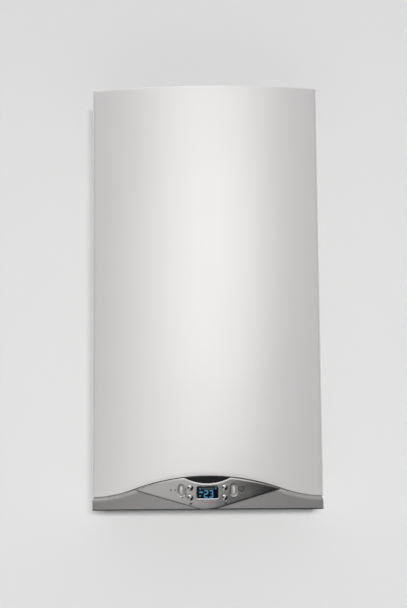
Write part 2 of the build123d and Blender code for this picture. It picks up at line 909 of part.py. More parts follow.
with BuildPart() as burner_bars:
    burner_front = fin_front - hearth_sheet - 1
    burner_back = fin_back + hearth_sheet + 1
    for x in burner_places:
        across = (x - burner_width / 2, x + burner_width / 2)
        block(across, (-burner_front, -burner_back), (burner_seat, burner_seat + burner_height))
        block(
            (across[0] + 1, across[1] - 1),
            (-burner_front, -burner_back - 6),
            (burner_z - 4, burner_z + 4),
            Mode.SUBTRACT,
        )
        for slot in range(12):
            slot_y = -burner_back - 5 - slot * 7
            block(
                (across[0] + 1.5, across[1] - 1.5),
                (slot_y - 1.2, slot_y + 1.2),
                (burner_z + 4, burner_seat + burner_height),
                Mode.SUBTRACT,
            )
write(burner_bars, "burner_bars")

manifold_bar_radius = 7.0
manifold_bar_half = burner_places[-1] + 12
gas_pipe_radius = 7.5

with BuildPart() as gas_manifold:
    bar_x((-manifold_bar_half, manifold_bar_half), -gas_riser_back, burner_z, manifold_bar_radius)
    for x in burner_places:
        bar_y(x, (-gas_riser_back, -fin_front - 1.5), burner_z, injector_radius)
    for side in (-1, 1):
        block(
            (side * (manifold_bar_half - 8), side * (manifold_bar_half - 4)),
            (-gas_riser_back - 5, -fin_front),
            (burner_z - 5, burner_z + 5),
        )
write(gas_manifold, "gas_manifold")

electrode_height = hearth_bottom + 12
electrode_places = (-60.0, -35.0, 70.0)

with BuildPart() as electrodes:
    for x in electrode_places:
        bar_y(x, (-fin_front - 12, -fin_front + lining + insulation_sheet + 12), electrode_height, 1.2)
        bar_y(x, (-fin_front - 8, -fin_front), electrode_height, 4.0)
        block(
            (x - 8, x + 8),
            (-fin_front - 2, -fin_front),
            (electrode_height - 7, electrode_height + 7),
        )
write(electrodes, "electrodes")

for piece, name, sheet in (
    (combustion_case, "combustion_case", hearth_sheet),
    (insulation_boards, "insulation_boards", lining + insulation_sheet),
):
    with piece:
        for x in electrode_places:
            bar_y(x, (-fin_front, -fin_front + sheet), electrode_height, 1.5, Mode.SUBTRACT)
    write(piece, name)

# --- Expansion vessel and hose --------------------------------------------------------
vessel_back = back_rim + 2.0
vessel_front = vessel_back + vessel_depth
vessel_middle = (vessel_back + vessel_front) / 2
vessel_shoulder = 24.0
vessel_sheet = 1.5
seam_half_width = 2.0
seam_rise = 3.0
hose_radius = 6.0
hose_top = vessel_height - vessel_radius - 16
hose_x = 75.0

with BuildPart() as vessel_space:
    bar_y(
        0,
        (-vessel_front + vessel_sheet, -vessel_back - vessel_sheet),
        vessel_height,
        vessel_radius - vessel_sheet,
    )
    fillet(vessel_space.edges().filter_by(GeomType.CIRCLE), vessel_shoulder - vessel_sheet)

with BuildPart() as expansion_vessel:
    bar_y(0, (-vessel_front, -vessel_back), vessel_height, vessel_radius)
    fillet(expansion_vessel.edges().filter_by(GeomType.CIRCLE), vessel_shoulder)
    bar_y(
        0,
        (-vessel_middle - seam_half_width, -vessel_middle + seam_half_width),
        vessel_height,
        vessel_radius + seam_rise,
    )
    bar_y(0, (-vessel_back, -back_rim), vessel_height, 20)
    post(0, -vessel_middle, (hose_top, vessel_height - vessel_radius + 5), 8)
    add(vessel_space.part, mode=Mode.SUBTRACT)
    post(0, -vessel_middle, (hose_top, vessel_height - vessel_radius + 10), 4, Mode.SUBTRACT)
write(expansion_vessel, "expansion_vessel")

with BuildPart() as vessel_hose:
    tube(
        (
            (0, -vessel_middle, hose_top),
            (0, -vessel_middle, hose_top - 40),
            (hose_x, -tail_back + 10, hose_top - 60),
            (hose_x, -tail_back + 10, manifold_top),
        ),
        hose_radius,
        0,
        24,
    )
write(vessel_hose, "vessel_hose")

# --- Gas valve and gas pipe -----------------------------------------------------------
gas_valve_top = 160.0
gas_elbow_height = 205.0

with BuildPart() as gas_valve:
    block((-30, 30), (-tail_back - 28, -tail_back + 28), (tail_top + 12, gas_valve_top - 20))
    fillet(gas_valve.edges().filter_by(Axis.Z), 5)
    post(0, -tail_back, (tail_top, tail_top + 12), large_tail_radius)
    post(0, -tail_back, (gas_valve_top - 20, gas_valve_top), 12)
    for x in (-17, 17):
        post(x, -tail_back - 14, (gas_valve_top - 20, gas_valve_top + 8), 10)
        post(x, -tail_back - 14, (gas_valve_top + 8, gas_valve_top + 12), 5)
write(gas_valve, "gas_valve")

with BuildPart() as gas_pipe:
    tube(
        (
            (0, -tail_back, gas_valve_top),
            (0, -tail_back, gas_elbow_height),
            (0, -gas_riser_back, gas_elbow_height),
            (0, -gas_riser_back, burner_z - manifold_bar_radius),
        ),
        gas_pipe_radius,
        pipe_wall,
        bend_radius,
    )
write(gas_pipe, "gas_pipe")

# --- Flow and return sides ------------------------------------------------------------
flow_port_x = -95.0
manifold_wall = 7.0
manifold_front = tail_back + manifold_half_depth
port_span = (tail_top, tail_top + manifold_wall)
crossover_height = 222.0

with BuildPart() as flow_manifold:
    block(
        (-manifold_outer, -manifold_inner),
        (-tail_back - manifold_half_depth, -tail_back + manifold_half_depth),
        (tail_top, manifold_top),
    )
    fillet(flow_manifold.edges().filter_by(Axis.Y), 8)
    block(
        (-manifold_outer + manifold_wall, -manifold_inner - manifold_wall),
        (-manifold_front + manifold_wall, -tail_back + manifold_half_depth - manifold_wall),
        (tail_top + manifold_wall, manifold_top - manifold_wall),
        Mode.SUBTRACT,
    )
    for x in (-2 * tail_pitch, -tail_pitch):
        post(x, -tail_back, port_span, small_tail_radius - tail_wall, Mode.SUBTRACT)
    post(flow_port_x, -tail_back, (manifold_top, manifold_top + 10), 13)
    post(
        flow_port_x,
        -tail_back,
        (manifold_top - manifold_wall, manifold_top + 10),
        pipe_radius - pipe_wall,
        Mode.SUBTRACT,
    )
    post(-2 * tail_pitch, -tail_back, (manifold_top - manifold_wall, manifold_top + 8), 15)
    post(
        -2 * tail_pitch,
        -tail_back,
        (manifold_top - manifold_wall, manifold_top + 8),
        spindle_radius + running_gap,
        Mode.SUBTRACT,
    )
write(flow_manifold, "flow_manifold")

with BuildPart() as diverter_motor:
    block(
        (-2 * tail_pitch - 20, -2 * tail_pitch + 20),
        (-tail_back - 22, -tail_back + 22),
        (manifold_top + 8, manifold_top + 50),
    )
    fillet(diverter_motor.edges().filter_by(Axis.Z), 6)
    block(
        (-2 * tail_pitch - 20, -2 * tail_pitch + 20),
        (-tail_back - 22, -tail_back - 8),
        (manifold_top + 38, manifold_top + 50),
        Mode.SUBTRACT,
    )
    post(
        -2 * tail_pitch,
        -tail_back,
        (manifold_top + 8, manifold_top + 34),
        spindle_radius + running_gap,
        Mode.SUBTRACT,
    )
write(diverter_motor, "diverter_motor")

diverter_travel = 6.0

with BuildPart() as diverter_spindle:
    post(-2 * tail_pitch, -tail_back, (tail_top + 21, manifold_top + 26), spindle_radius)
write(diverter_spindle, "diverter_spindle")

valve_end = manifold_outer + 26
valve_height = tail_top + 35
knob_length = 14.0
knob_flutes = 8
stem_radius = 3.0
tap_x = (tail_pitch + 2 * tail_pitch) / 2
tap_height = tail_top + 15
vent_place = (2 * tail_pitch + 4, -tail_back + 8)

with BuildPart() as return_manifold:
    block(
        (manifold_inner, manifold_outer),
        (-manifold_front, -tail_back + manifold_half_depth),
        (tail_top, manifold_top),
    )
    fillet(return_manifold.edges().filter_by(Axis.Y), 8)
    block(
        (manifold_inner + manifold_wall, manifold_outer - manifold_wall),
        (-manifold_front + manifold_wall, -tail_back + manifold_half_depth - manifold_wall),
        (tail_top + manifold_wall, manifold_top - manifold_wall),
        Mode.SUBTRACT,
    )
    for x in (tail_pitch, 2 * tail_pitch):
        post(x, -tail_back, port_span, small_tail_radius - tail_wall, Mode.SUBTRACT)
    bar_x((manifold_outer, valve_end), -tail_back, valve_height, 11)
    bar_y(pump_x, (-manifold_front - pump_neck, -manifold_front), pump_height, 14)
    bar_y(
        pump_x,
        (-manifold_front - pump_neck, -manifold_front + manifold_wall),
        pump_height,
        10,
        Mode.SUBTRACT,
    )
    bar_y(tap_x, (-manifold_front - 4, -manifold_front), tap_height, 7)
    bar_x((valve_end - 8, valve_end), -tail_back, valve_height, stem_radius + running_gap, Mode.SUBTRACT)
    bar_y(
        tap_x,
        (-manifold_front - 4, -manifold_front + 6),
        tap_height,
        stem_radius + running_gap,
        Mode.SUBTRACT,
    )
write(return_manifold, "return_manifold")

with BuildPart() as safety_knob:
    bar_x((valve_end + seat_gap, valve_end + knob_length), -tail_back, valve_height, knob_radius)
    fillet(safety_knob.edges().sort_by(Axis.X)[-1], 2)
    for turn in range(knob_flutes):
        angle = radians(360 / knob_flutes * turn)
        bar_x(
            (valve_end + seat_gap, valve_end + knob_length),
            -tail_back + (knob_radius + 1.5) * cos(angle),
            valve_height + (knob_radius + 1.5) * sin(angle),
            3.0,
            Mode.SUBTRACT,
        )
    bar_x((valve_end - 7.5, valve_end + seat_gap), -tail_back, valve_height, stem_radius)
write(safety_knob, "safety_knob")

with BuildPart() as filling_tap_lever:
    bar_y(tap_x, (-manifold_front - 9, -manifold_front - 4 - seat_gap), tap_height, 6.5)
    bar_y(tap_x, (-manifold_front - 4 - seat_gap, -manifold_front + 5.5), tap_height, stem_radius)
    block(
        (tap_x - 4, tap_x + 4),
        (-manifold_front - 9, -manifold_front - 5.5),
        (tap_height - lever_length, tap_height),
    )
write(filling_tap_lever, "filling_tap_lever")

with BuildPart() as air_vent:
    post(*vent_place, (manifold_top, manifold_top + 32), 12)
    fillet(air_vent.edges().sort_by(Axis.Z)[-1], 3)
    post(*vent_place, (manifold_top + 32, manifold_top + 40), 4)
write(air_vent, "air_vent")

volute_back = manifold_front + pump_neck
volute_middle = (volute_back + volute_front) / 2
pump_port_top = pump_height + volute_radius + 12

with BuildPart() as pump_body:
    bar_y(pump_x, (-volute_front, -volute_back), pump_height, volute_radius)
    post(pump_x, -volute_middle, (pump_height, pump_port_top), 12)
    bar_y(pump_x, (-volute_front + 3, -volute_back - 3), pump_height, volute_radius - 5, Mode.SUBTRACT)
    bar_y(pump_x, (-volute_front, -volute_front + 3), pump_height, pump_shaft_radius + 2, Mode.SUBTRACT)
    post(
        pump_x,
        -volute_middle,
        (pump_height + volute_radius - 7, pump_port_top),
        pipe_radius - pipe_wall,
        Mode.SUBTRACT,
    )
write(pump_body, "pump_body")

with BuildPart() as pump_motor:
    bar_y(pump_x, (-pump_motor_front, -volute_front), pump_height, pump_motor_radius)
    fillet(pump_motor.edges().sort_by(Axis.Y)[0], 3)
    block(
        (pump_x - 26, pump_x + 26),
        (-pump_motor_front + 8, -volute_front - 6),
        (pump_height - pump_motor_radius - 16, pump_height - pump_motor_radius + 8),
    )
    bar_y(
        pump_x,
        (-pump_motor_front + 10, -volute_front),
        pump_height,
        pump_shaft_radius + running_gap,
        Mode.SUBTRACT,
    )
write(pump_motor, "pump_motor")

with BuildPart() as pump_impeller:
    bar_y(pump_x, (-volute_front + 5, -volute_front + 7), pump_height, volute_radius - 9)
    bar_y(pump_x, (-pump_motor_front + 10.5, -volute_front + 7), pump_height, pump_shaft_radius)
    with BuildSketch(Plane.XZ.offset(volute_back + 6)) as vanes:
        with Locations((pump_x, pump_height)):
            with PolarLocations((volute_radius - 2) / 2, 6):
                Rectangle(volute_radius - 20, 2, rotation=25)
    extrude(amount=volute_front - volute_back - 13)
write(pump_impeller, "pump_impeller")

plate_count = 11
plate_pitch = 3.0
groove_width = 0.8
exchanger_back = manifold_front + 8
exchanger_front = exchanger_back + plate_count * plate_pitch
exchanger_bottom = 76.0
exchanger_tall = 52.0
exchanger_corner = 14.0
exchanger_left = -95.0
exchanger_right = 68.0
port_rows = (88.0, 116.0)

with BuildPart() as plate_exchanger:
    block(
        (exchanger_left, exchanger_right),
        (-exchanger_front, -exchanger_back),
        (exchanger_bottom, exchanger_bottom + exchanger_tall),
    )
    fillet(plate_exchanger.edges().filter_by(Axis.Y), exchanger_corner)
    length = exchanger_right - exchanger_left
    exchanger_middle = (exchanger_left + exchanger_right) / 2
    for n in range(1, plate_count):
        with BuildSketch(Plane.XZ.offset(exchanger_back + n * plate_pitch)) as groove_ring:
            with Locations((exchanger_middle, exchanger_bottom + exchanger_tall / 2)):
                RectangleRounded(length + 4, exchanger_tall + 4, exchanger_corner + 1)
                RectangleRounded(
                    length - 2, exchanger_tall - 2, exchanger_corner - 1, mode=Mode.SUBTRACT
                )
        extrude(amount=groove_width, mode=Mode.SUBTRACT)
    for x in (-tail_pitch - 10, manifold_inner + 9):
        for z in port_rows:
            bar_y(x, (-exchanger_back, -manifold_front), z, 7.5)
write(plate_exchanger, "plate_exchanger")

with BuildPart() as flow_pipe:
    tube(
        (
            (-riser_x + bend_radius, -last_tube_back, tube_height),
            (-riser_x, -last_tube_back, tube_height),
            (-riser_x, -last_tube_back, crossover_height),
            (flow_port_x, -tail_back, crossover_height - 25),
            (flow_port_x, -tail_back, manifold_top + 10),
        ),
        pipe_radius,
        pipe_wall,
        bend_radius - 1,
    )
write(flow_pipe, "flow_pipe")

with BuildPart() as return_pipe:
    tube(
        (
            (riser_x - bend_radius, -first_tube_back, tube_height),
            (riser_x, -first_tube_back, tube_height),
            (riser_x, -first_tube_back, crossover_height),
            (pump_x, -volute_middle, crossover_height - 25),
            (pump_x, -volute_middle, pump_port_top),
        ),
        pipe_radius,
        pipe_wall,
        bend_radius - 1,
    )
write(return_pipe, "return_pipe")

# --- Screws ---------------------------------------------------------------------------
frame_screw_rows = (60.0, 300.0, 560.0)

with BuildPart() as casing_screws:
    for x, z in chamber_screw_places:
        bar_y(x, (-plate_front_depth - screw_head, -plate_front_depth), z, screw_head_radius)
        bar_y(x, (-plate_front_depth, -chamber_front_depth), z, screw_radius)
    for side in (-1, 1):
        for z in frame_screw_rows:
            x = side * (flange_inner + 6)
            near = back_rim + casing_sheet
            bar_y(x, (-near - screw_head, -near), z, screw_head_radius)
write(casing_screws, "casing_screws")

with BuildPart() as cover_screws:
    for side in (-1, 1):
        post(side * dowel_x, -dowel_back, (tab_top - casing_sheet - 4, tab_top - casing_sheet), 4.5)
        post(side * dowel_x, -dowel_back, (tab_top - casing_sheet, tab_top + 8), dowel_radius)
write(cover_screws, "cover_screws")

# --- Front cover ----------------------------------------------------------------------
cover_tab_bottom = tab_top + seat_gap
dowel_clearance = 0.7

with BuildPart() as front_cover:
    extrude(bowed_plan(0, 0, 0, -cover_back, corner_radius), amount=case_height)
    extrude(
        bowed_plan(0, cover_sheet, cover_sheet, -cover_back, corner_radius - cover_sheet),
        amount=case_height - cover_sheet,
        mode=Mode.SUBTRACT,
    )
    extrude(below_wave(0), amount=through_front, mode=Mode.SUBTRACT)
    for side in (-1, 1):
        block(
            (side * (dowel_x - 7), side * (half_width - cover_sheet)),
            (-tab_front, -cover_back),
            (cover_tab_bottom, cover_tab_bottom + cover_sheet),
        )
        post(
            side * dowel_x,
            -dowel_back,
            (cover_tab_bottom, cover_tab_bottom + cover_sheet),
            dowel_radius + dowel_clearance,
            Mode.SUBTRACT,
        )
write(front_cover, "front_cover")

# --- Fascia, almond panel and badge ---------------------------------------------------
boss_places = [(side * 80.0, -y) for side in (-1, 1) for y in (275.0, 292.0)]
boss_inner = half_width - fascia_wall - hinge_boss_length
notch_gap = 1.5
boss_radius = 4.0


def fascia_form(inset, roll):
    """The fascia's outer form, or the form of its inside: a bow under the wave with a rolled top."""
    with BuildPart() as form:
        plan = bowed_plan(inset, lens_sheet + inset, inset, -fascia_back, corner_radius - inset)
        extrude(plan, amount=wave_crest)
        extrude(below_wave(wave_gap + inset), amount=through_front, mode=Mode.INTERSECT)
        wave_edges = [
            edge
            for edge in form.edges()
            if edge.center().Z > wave_end - wave_gap - inset - 1
            and edge.center().Y < -side_depth + lens_sheet + inset
            and edge.bounding_box().size.X > corner_radius
        ]
        fillet(wave_edges, roll)
    return form.part


fascia_outside = fascia_form(0, fascia_roll)
fascia_inside = fascia_form(fascia_wall, fascia_roll - fascia_wall)

with BuildPart() as fascia:
    add(fascia_outside)
    add(fascia_inside, mode=Mode.SUBTRACT)
    for side in (-1, 1):
        boss_span = (side * boss_inner, side * (half_width - fascia_wall))
        bar_x(boss_span, -hinge_back, hinge_height, hinge_boss_radius)
        block(
            (side * (lug_inner - notch_gap), side * (lug_outer + notch_gap / 2)),
            (-hinge_back - 9, -fascia_back),
            (0, fascia_wall),
            Mode.SUBTRACT,
        )
        bar_x(
            (side * boss_inner, side * (pin_end + 0.5)),
            -hinge_back,
            hinge_height,
            hinge_pin_radius + running_gap,
            Mode.SUBTRACT,
        )
    for x, y in boss_places:
        post(x, y, (fascia_wall, box_bottom), boss_radius)
    panel_openings()
write(fascia, "fascia")

with BuildPart() as control_lens:
    extrude(lens_ring(), amount=wave_crest + keel_drop)
    extrude(below_wave(wave_gap), amount=through_front, mode=Mode.INTERSECT)
    extrude(above_keel(), amount=through_front, mode=Mode.INTERSECT)
    extrude(badge_disc(inlay_gap), amount=through_front, mode=Mode.SUBTRACT)
    panel_openings()
write(control_lens, "control_lens")

with BuildPart() as badge_plate:
    extrude(lens_ring(), amount=wave_crest + keel_drop)
    extrude(below_wave(wave_gap), amount=through_front, mode=Mode.INTERSECT)
    extrude(badge_disc(0), amount=through_front, mode=Mode.INTERSECT)
write(badge_plate, "badge_plate")

# --- Display --------------------------------------------------------------------------
glass_front = crown_depth - display_recess
glass_back = glass_front - display_glass_sheet
display_z_span = (display_z - display_height / 2, display_z + display_height / 2)

with BuildPart() as display_glass:
    block((-display_width / 2, display_width / 2), (-glass_front, -glass_back), display_z_span)
write(display_glass, "display_glass")

wheel_back = -front_y(wheel_x) + wheel_proud - wheel_radius
encoder_half = 2.2
encoder_width = 7.5
wheel_side_gap = 0.5
wheel_clearance = 1.5  # between the wheels and the board's notches
board_reach = 70.0
board_top = 45.0

with BuildPart() as display_board:
    board_span = (-board_front, -board_front + board_sheet)
    block((-board_reach, board_reach), board_span, (box_bottom + box_wall, board_top))
    for side in (-1, 1):
        block(
            (
                side * (wheel_x - wheel_width / 2 - wheel_clearance),
                side * (wheel_x + wheel_width / 2 + wheel_clearance),
            ),
            board_span,
            (wheel_z - wheel_radius - wheel_clearance, wheel_z + wheel_radius + wheel_clearance),
            Mode.SUBTRACT,
        )
    block(
        (-display_width / 2 + 1, display_width / 2 - 1),
        (-glass_back, -board_front),
        (display_z_span[0] + 1, display_z_span[1] - 1),
    )
    for side in (-1, 1):
        for z in button_rows:
            block(
                (side * button_x - switch_size / 2, side * button_x + switch_size / 2),
                (-board_front - switch_height, -board_front),
                (z - switch_size / 2, z + switch_size / 2),
            )
        inner = wheel_x + wheel_width / 2 + wheel_side_gap
        block(
            (side * inner, side * (inner + encoder_width)),
            (-wheel_back - encoder_half, -board_front),
            (wheel_z - 5.5, wheel_z + 5.5),
        )
        bar_x(
            (side * inner, side * (inner + encoder_width)),
            -wheel_back,
            wheel_z,
            axle_radius + running_gap,
            Mode.SUBTRACT,
        )
write(display_board, "display_board")

# --- Buttons and thumbwheels ----------------------------------------------------------
button_front = -front_y(button_x) + button_proud
flange_front = -front_y(button_x + button_flange_radius, lens_sheet + fascia_wall) - seat_gap
stem_back = board_front + switch_height + button_travel + 0.3

for side, side_name in ((-1, "left"), (1, "right")):
    for z, row_name in zip(button_rows, ("upper", "lower")):
        with BuildPart() as button:
            bar_y(side * button_x, (-button_front, -flange_front), z, button_radius)
            fillet(button.edges().sort_by(Axis.Y)[0], 1.4)
            flange_span = (-flange_front, -flange_front + button_flange_sheet)
            bar_y(side * button_x, flange_span, z, button_flange_radius)
            bar_y(side * button_x, (-flange_front, -stem_back), z, button_stem_radius)
        write(button, f"button_{side_name}_{row_name}")
    with BuildPart() as wheel:
        bar_x(
            (side * (wheel_x - wheel_width / 2), side * (wheel_x + wheel_width / 2)),
            -wheel_back,
            wheel_z,
            wheel_radius,
        )
        chamfer(wheel.edges().filter_by(GeomType.CIRCLE), 0.5)
        bar_x(
            (side * wheel_x, side * (wheel_x + wheel_width / 2 + wheel_side_gap + encoder_width)),
            -wheel_back,
            wheel_z,
            axle_radius,
        )
    write(wheel, f"wheel_{side_name}")

# --- Control box ----------------------------------------------------------------------
box_half = box_width / 2
gland_places = [place * tail_pitch for place in (-1.5, -0.5, 0.5)]
gland_z = box_bottom + 16
gland_length = 8.0
gland_radius = 8.5
gland_neck_radius = 6.0
gland_bore_radius = 3.5
standoff = 5.0
board_back = box_back + box_wall + standoff
board_half = 150.0
board_z = (box_bottom + 8, box_top - 8)

with BuildPart() as control_box:
    block((-box_half, box_half), (-box_front, -box_back), (box_bottom, box_top))
    block(
        (-box_half + box_wall, box_half - box_wall),
        (-box_front, -box_back - box_wall),
        (box_bottom + box_wall, box_top - box_wall),
        Mode.SUBTRACT,
    )
    block(
        (-tongue_width / 2, tongue_width / 2),
        (-board_front, -box_front),
        (box_bottom, box_bottom + box_wall),
    )
    for x in (-board_half + 8, board_half - 8):
        for z in (board_z[0] + 8, board_z[1] - 8):
            bar_y(x, (-board_back, -box_back - box_wall), z, 3.5)
    for x in gland_places:
        bar_y(x, (-box_back - box_wall, -box_back), gland_z, gland_neck_radius, Mode.SUBTRACT)
write(control_box, "control_box")

with BuildPart() as control_box_lid:
    block(
        (-box_half, box_half),
        (-box_front - lid_sheet, -box_front),
        (box_bottom + box_wall + fit_gap, box_top),
    )
    fillet(control_box_lid.edges().filter_by(Axis.Y), 3)
write(control_box_lid, "control_box_lid")

with BuildPart() as main_board:
    block((-board_half, board_half), (-board_back - board_sheet, -board_back), board_z)
    parts_back = board_back + board_sheet
    board_middle = (board_z[0] + board_z[1]) / 2
    for x, width, height, depth in (
        (-115.0, 42.0, 36.0, 30.0),
        (-60.0, 24.0, 20.0, 16.0),
        (-28.0, 24.0, 20.0, 16.0),
        (4.0, 24.0, 20.0, 16.0),
        (45.0, 30.0, 30.0, 8.0),
        (95.0, 34.0, 14.0, 12.0),
        (130.0, 20.0, 50.0, 10.0),
    ):
        block(
            (x - width / 2, x + width / 2),
            (-parts_back - depth, -parts_back),
            (board_middle - height / 2, board_middle + height / 2),
        )
write(main_board, "main_board")

with BuildPart() as cable_glands:
    for x in gland_places:
        bar_y(x, (-box_back, -box_back + gland_length), gland_z, gland_radius)
        bar_y(x, (-box_back - box_wall, -box_back), gland_z, gland_neck_radius - bore_gap)
        bar_y(
            x,
            (-box_back - box_wall, -box_back + gland_length),
            gland_z,
            gland_bore_radius,
            Mode.SUBTRACT,
        )
write(cable_glands, "cable_glands")
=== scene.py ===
"""Looks of a wall-hung combi boiler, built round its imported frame.

Metres, in the frame of the part: the wall is the plane y = 0, the front faces -Y, +Z is up
and the origin is at the bottom centre of the casing, on the wall.
"""

import json
import math

import bmesh
import bpy
import numpy as np
from mathutils import Matrix, Vector
from mathutils.geometry import delaunay_2d_cdt


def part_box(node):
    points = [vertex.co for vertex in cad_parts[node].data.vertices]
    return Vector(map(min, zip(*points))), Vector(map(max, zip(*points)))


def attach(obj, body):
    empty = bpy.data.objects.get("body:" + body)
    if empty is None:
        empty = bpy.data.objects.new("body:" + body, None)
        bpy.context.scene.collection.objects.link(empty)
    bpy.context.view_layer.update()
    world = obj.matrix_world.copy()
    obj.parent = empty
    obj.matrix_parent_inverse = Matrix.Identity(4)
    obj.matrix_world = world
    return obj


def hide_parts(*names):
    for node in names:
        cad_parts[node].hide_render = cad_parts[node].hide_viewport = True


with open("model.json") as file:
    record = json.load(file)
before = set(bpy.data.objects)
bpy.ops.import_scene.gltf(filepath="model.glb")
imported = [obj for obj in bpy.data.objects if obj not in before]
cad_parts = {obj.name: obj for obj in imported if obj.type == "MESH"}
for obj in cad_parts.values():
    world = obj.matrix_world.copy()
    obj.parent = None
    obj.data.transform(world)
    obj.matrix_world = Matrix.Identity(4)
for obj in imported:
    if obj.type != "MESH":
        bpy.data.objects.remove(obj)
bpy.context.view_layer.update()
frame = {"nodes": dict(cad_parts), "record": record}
nodes = frame["nodes"]
MM = 0.001

# --- Sizes read from the frame, and the few that shape the front ---
cover_low, cover_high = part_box("front_cover")
fascia_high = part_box("fascia")[1]
glass_low, glass_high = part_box("display_glass")
HALF = cover_high.x  # half the width of the casing
CROWN = -cover_low.y  # foremost line of the bow, from the wall
CASE_TOP = cover_high.z
COVER_BACK = -cover_high.y  # rear edge of the cover, from the wall
FASCIA_BACK = -fascia_high.y
WAVE_END = cover_low.z  # height of the wave at the sides
WAVE_GAP = 2 * MM  # between the cover's wave and the fascia
WAVE_CREST = fascia_high.z + WAVE_GAP
CREST_RADIUS = 384 * MM  # of the wave's middle arc
BOW_RISE = 30 * MM  # how far the crown stands ahead of the sides
CORNER = 7 * MM  # radius between a side and the bow
COVER_SHEET = 1.5 * MM
LENS_SHEET = 2.5 * MM  # how far the fascia lies behind the bow
KEEL_SLOPE = math.radians(16.4)
KEEL_DROP = 2 * MM  # how far below z = 0 the keel's two slopes would meet
KEEL_RADIUS = 70 * MM
BADGE_RADIUS = 85 * MM
BADGE_BOTTOM = 44.5 * MM
INLAY_GAP = 0.15 * MM  # between the badge and the almond

BOW_RADIUS = (HALF**2 + BOW_RISE**2) / (2 * BOW_RISE)
BOW_CENTRE = BOW_RADIUS - CROWN
WAVE_RISE = WAVE_CREST - WAVE_END
END_RADIUS = (HALF**2 + WAVE_RISE**2) / (2 * WAVE_RISE) - CREST_RADIUS  # of the wave's side arcs
BEND_X = CREST_RADIUS * HALF / (CREST_RADIUS + END_RADIUS)  # where the wave's arcs meet


def bow_y(x):
    """Place of the bowed front: a circle's arc about an upright axis."""
    return BOW_CENTRE - np.sqrt(BOW_RADIUS**2 - np.asarray(x, float) ** 2)


def wave_z(x, gap=0.0):
    """Height of the wave: an arc bowed up in the middle and one bowed down at each side.

    `gap` moves it down, square to its line.
    """
    ax = np.minimum(np.abs(np.asarray(x, float)), HALF)
    crest = CREST_RADIUS - gap
    ends = END_RADIUS + gap
    bend = BEND_X * crest / CREST_RADIUS
    middle = WAVE_CREST - CREST_RADIUS + np.sqrt(crest**2 - np.minimum(ax, bend) ** 2)
    sides = WAVE_END + END_RADIUS - np.sqrt(ends**2 - (HALF - ax) ** 2)
    return np.where(ax < bend, middle, sides)


def fascia_top(x):
    """Upper edge of the fascia: the wave, moved down by the gap under the cover."""
    return wave_z(x, WAVE_GAP)


def keel_z(x):
    """Lower edge of the almond: two straight slopes joined by an arc at the keel."""
    ax = np.abs(np.asarray(x, float))
    touch = KEEL_RADIUS * math.sin(KEEL_SLOPE)
    centre = -KEEL_DROP + KEEL_RADIUS / math.cos(KEEL_SLOPE)
    arc = centre - np.sqrt(KEEL_RADIUS**2 - np.minimum(ax, touch) ** 2)
    return np.where(ax < touch, arc, -KEEL_DROP + ax * math.tan(KEEL_SLOPE))


# --- Meshes ---
MERGE = 1e-6  # points nearer than this are one


def piece(name, points, faces, body, material, stands_for=(), closed=False):
    """A smooth mesh object from arrays of points and faces, riding on a body of the frame.

    A closed form has its seams and poles merged and its faces turned outwards.
    """
    mesh = bpy.data.meshes.new(name)
    mesh.from_pydata(np.asarray(points, float).tolist(), [], [list(map(int, f)) for f in faces])
    if closed:
        form = bmesh.new()
        form.from_mesh(mesh)
        bmesh.ops.remove_doubles(form, verts=form.verts, dist=MERGE)
        bmesh.ops.recalc_face_normals(form, faces=form.faces)
        form.to_mesh(mesh)
        form.free()
    mesh.validate()
    mesh.update()
    mesh.polygons.foreach_set("use_smooth", np.full(len(mesh.polygons), True))
    obj = bpy.data.objects.new(name, mesh)
    bpy.context.scene.collection.objects.link(obj)
    obj.data.materials.append(material)
    if body:
        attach(obj, body)
    if stands_for:
        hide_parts(*stands_for)
    return obj


def grid_faces(rows, columns, close_columns=False):
    """Quads of a grid of points stored row by row; its last column joins the first on request."""
    r = np.arange(rows - 1)
    c = np.arange(columns if close_columns else columns - 1)
    rr, cc = np.meshgrid(r, c, indexing="ij")
    below, right = rr + 1, (cc + 1) % columns
    quads = np.stack([rr * columns + cc, rr * columns + right, below * columns + right,
                      below * columns + cc], -1)
    return quads.reshape(-1, 4)


def solidify(obj, thickness, offset=-1.0):
    """Gives a sheet its wall, behind its face or, with an offset of 0, half to each side."""
    wall = obj.modifiers.new("wall", "SOLIDIFY")
    wall.thickness, wall.offset = thickness, offset


# --- Node expressions ---
class Wire:
    """A node's output; arithmetic on it adds Math nodes to the same tree."""

    def __init__(self, tree, socket):
        self.tree, self.socket = tree, socket

    def math(self, operation, *values):
        """A Math node on these values."""
        return self.tree.node("ShaderNodeMath", {"operation": operation}, *values)

    def __add__(self, other):
        return self.math("ADD", self, other)

    def __sub__(self, other):
        return self.math("SUBTRACT", self, other)

    def __rsub__(self, other):
        return self.math("SUBTRACT", other, self)

    def __mul__(self, other):
        return self.math("MULTIPLY", self, other)

    def __truediv__(self, other):
        return self.math("DIVIDE", self, other)

    def __pow__(self, other):
        return self.math("POWER", self, other)

    def __gt__(self, other):
        return self.math("GREATER_THAN", self, other)

    def __abs__(self):
        return self.math("ABSOLUTE", self)

    __radd__ = __add__
    __rmul__ = __mul__


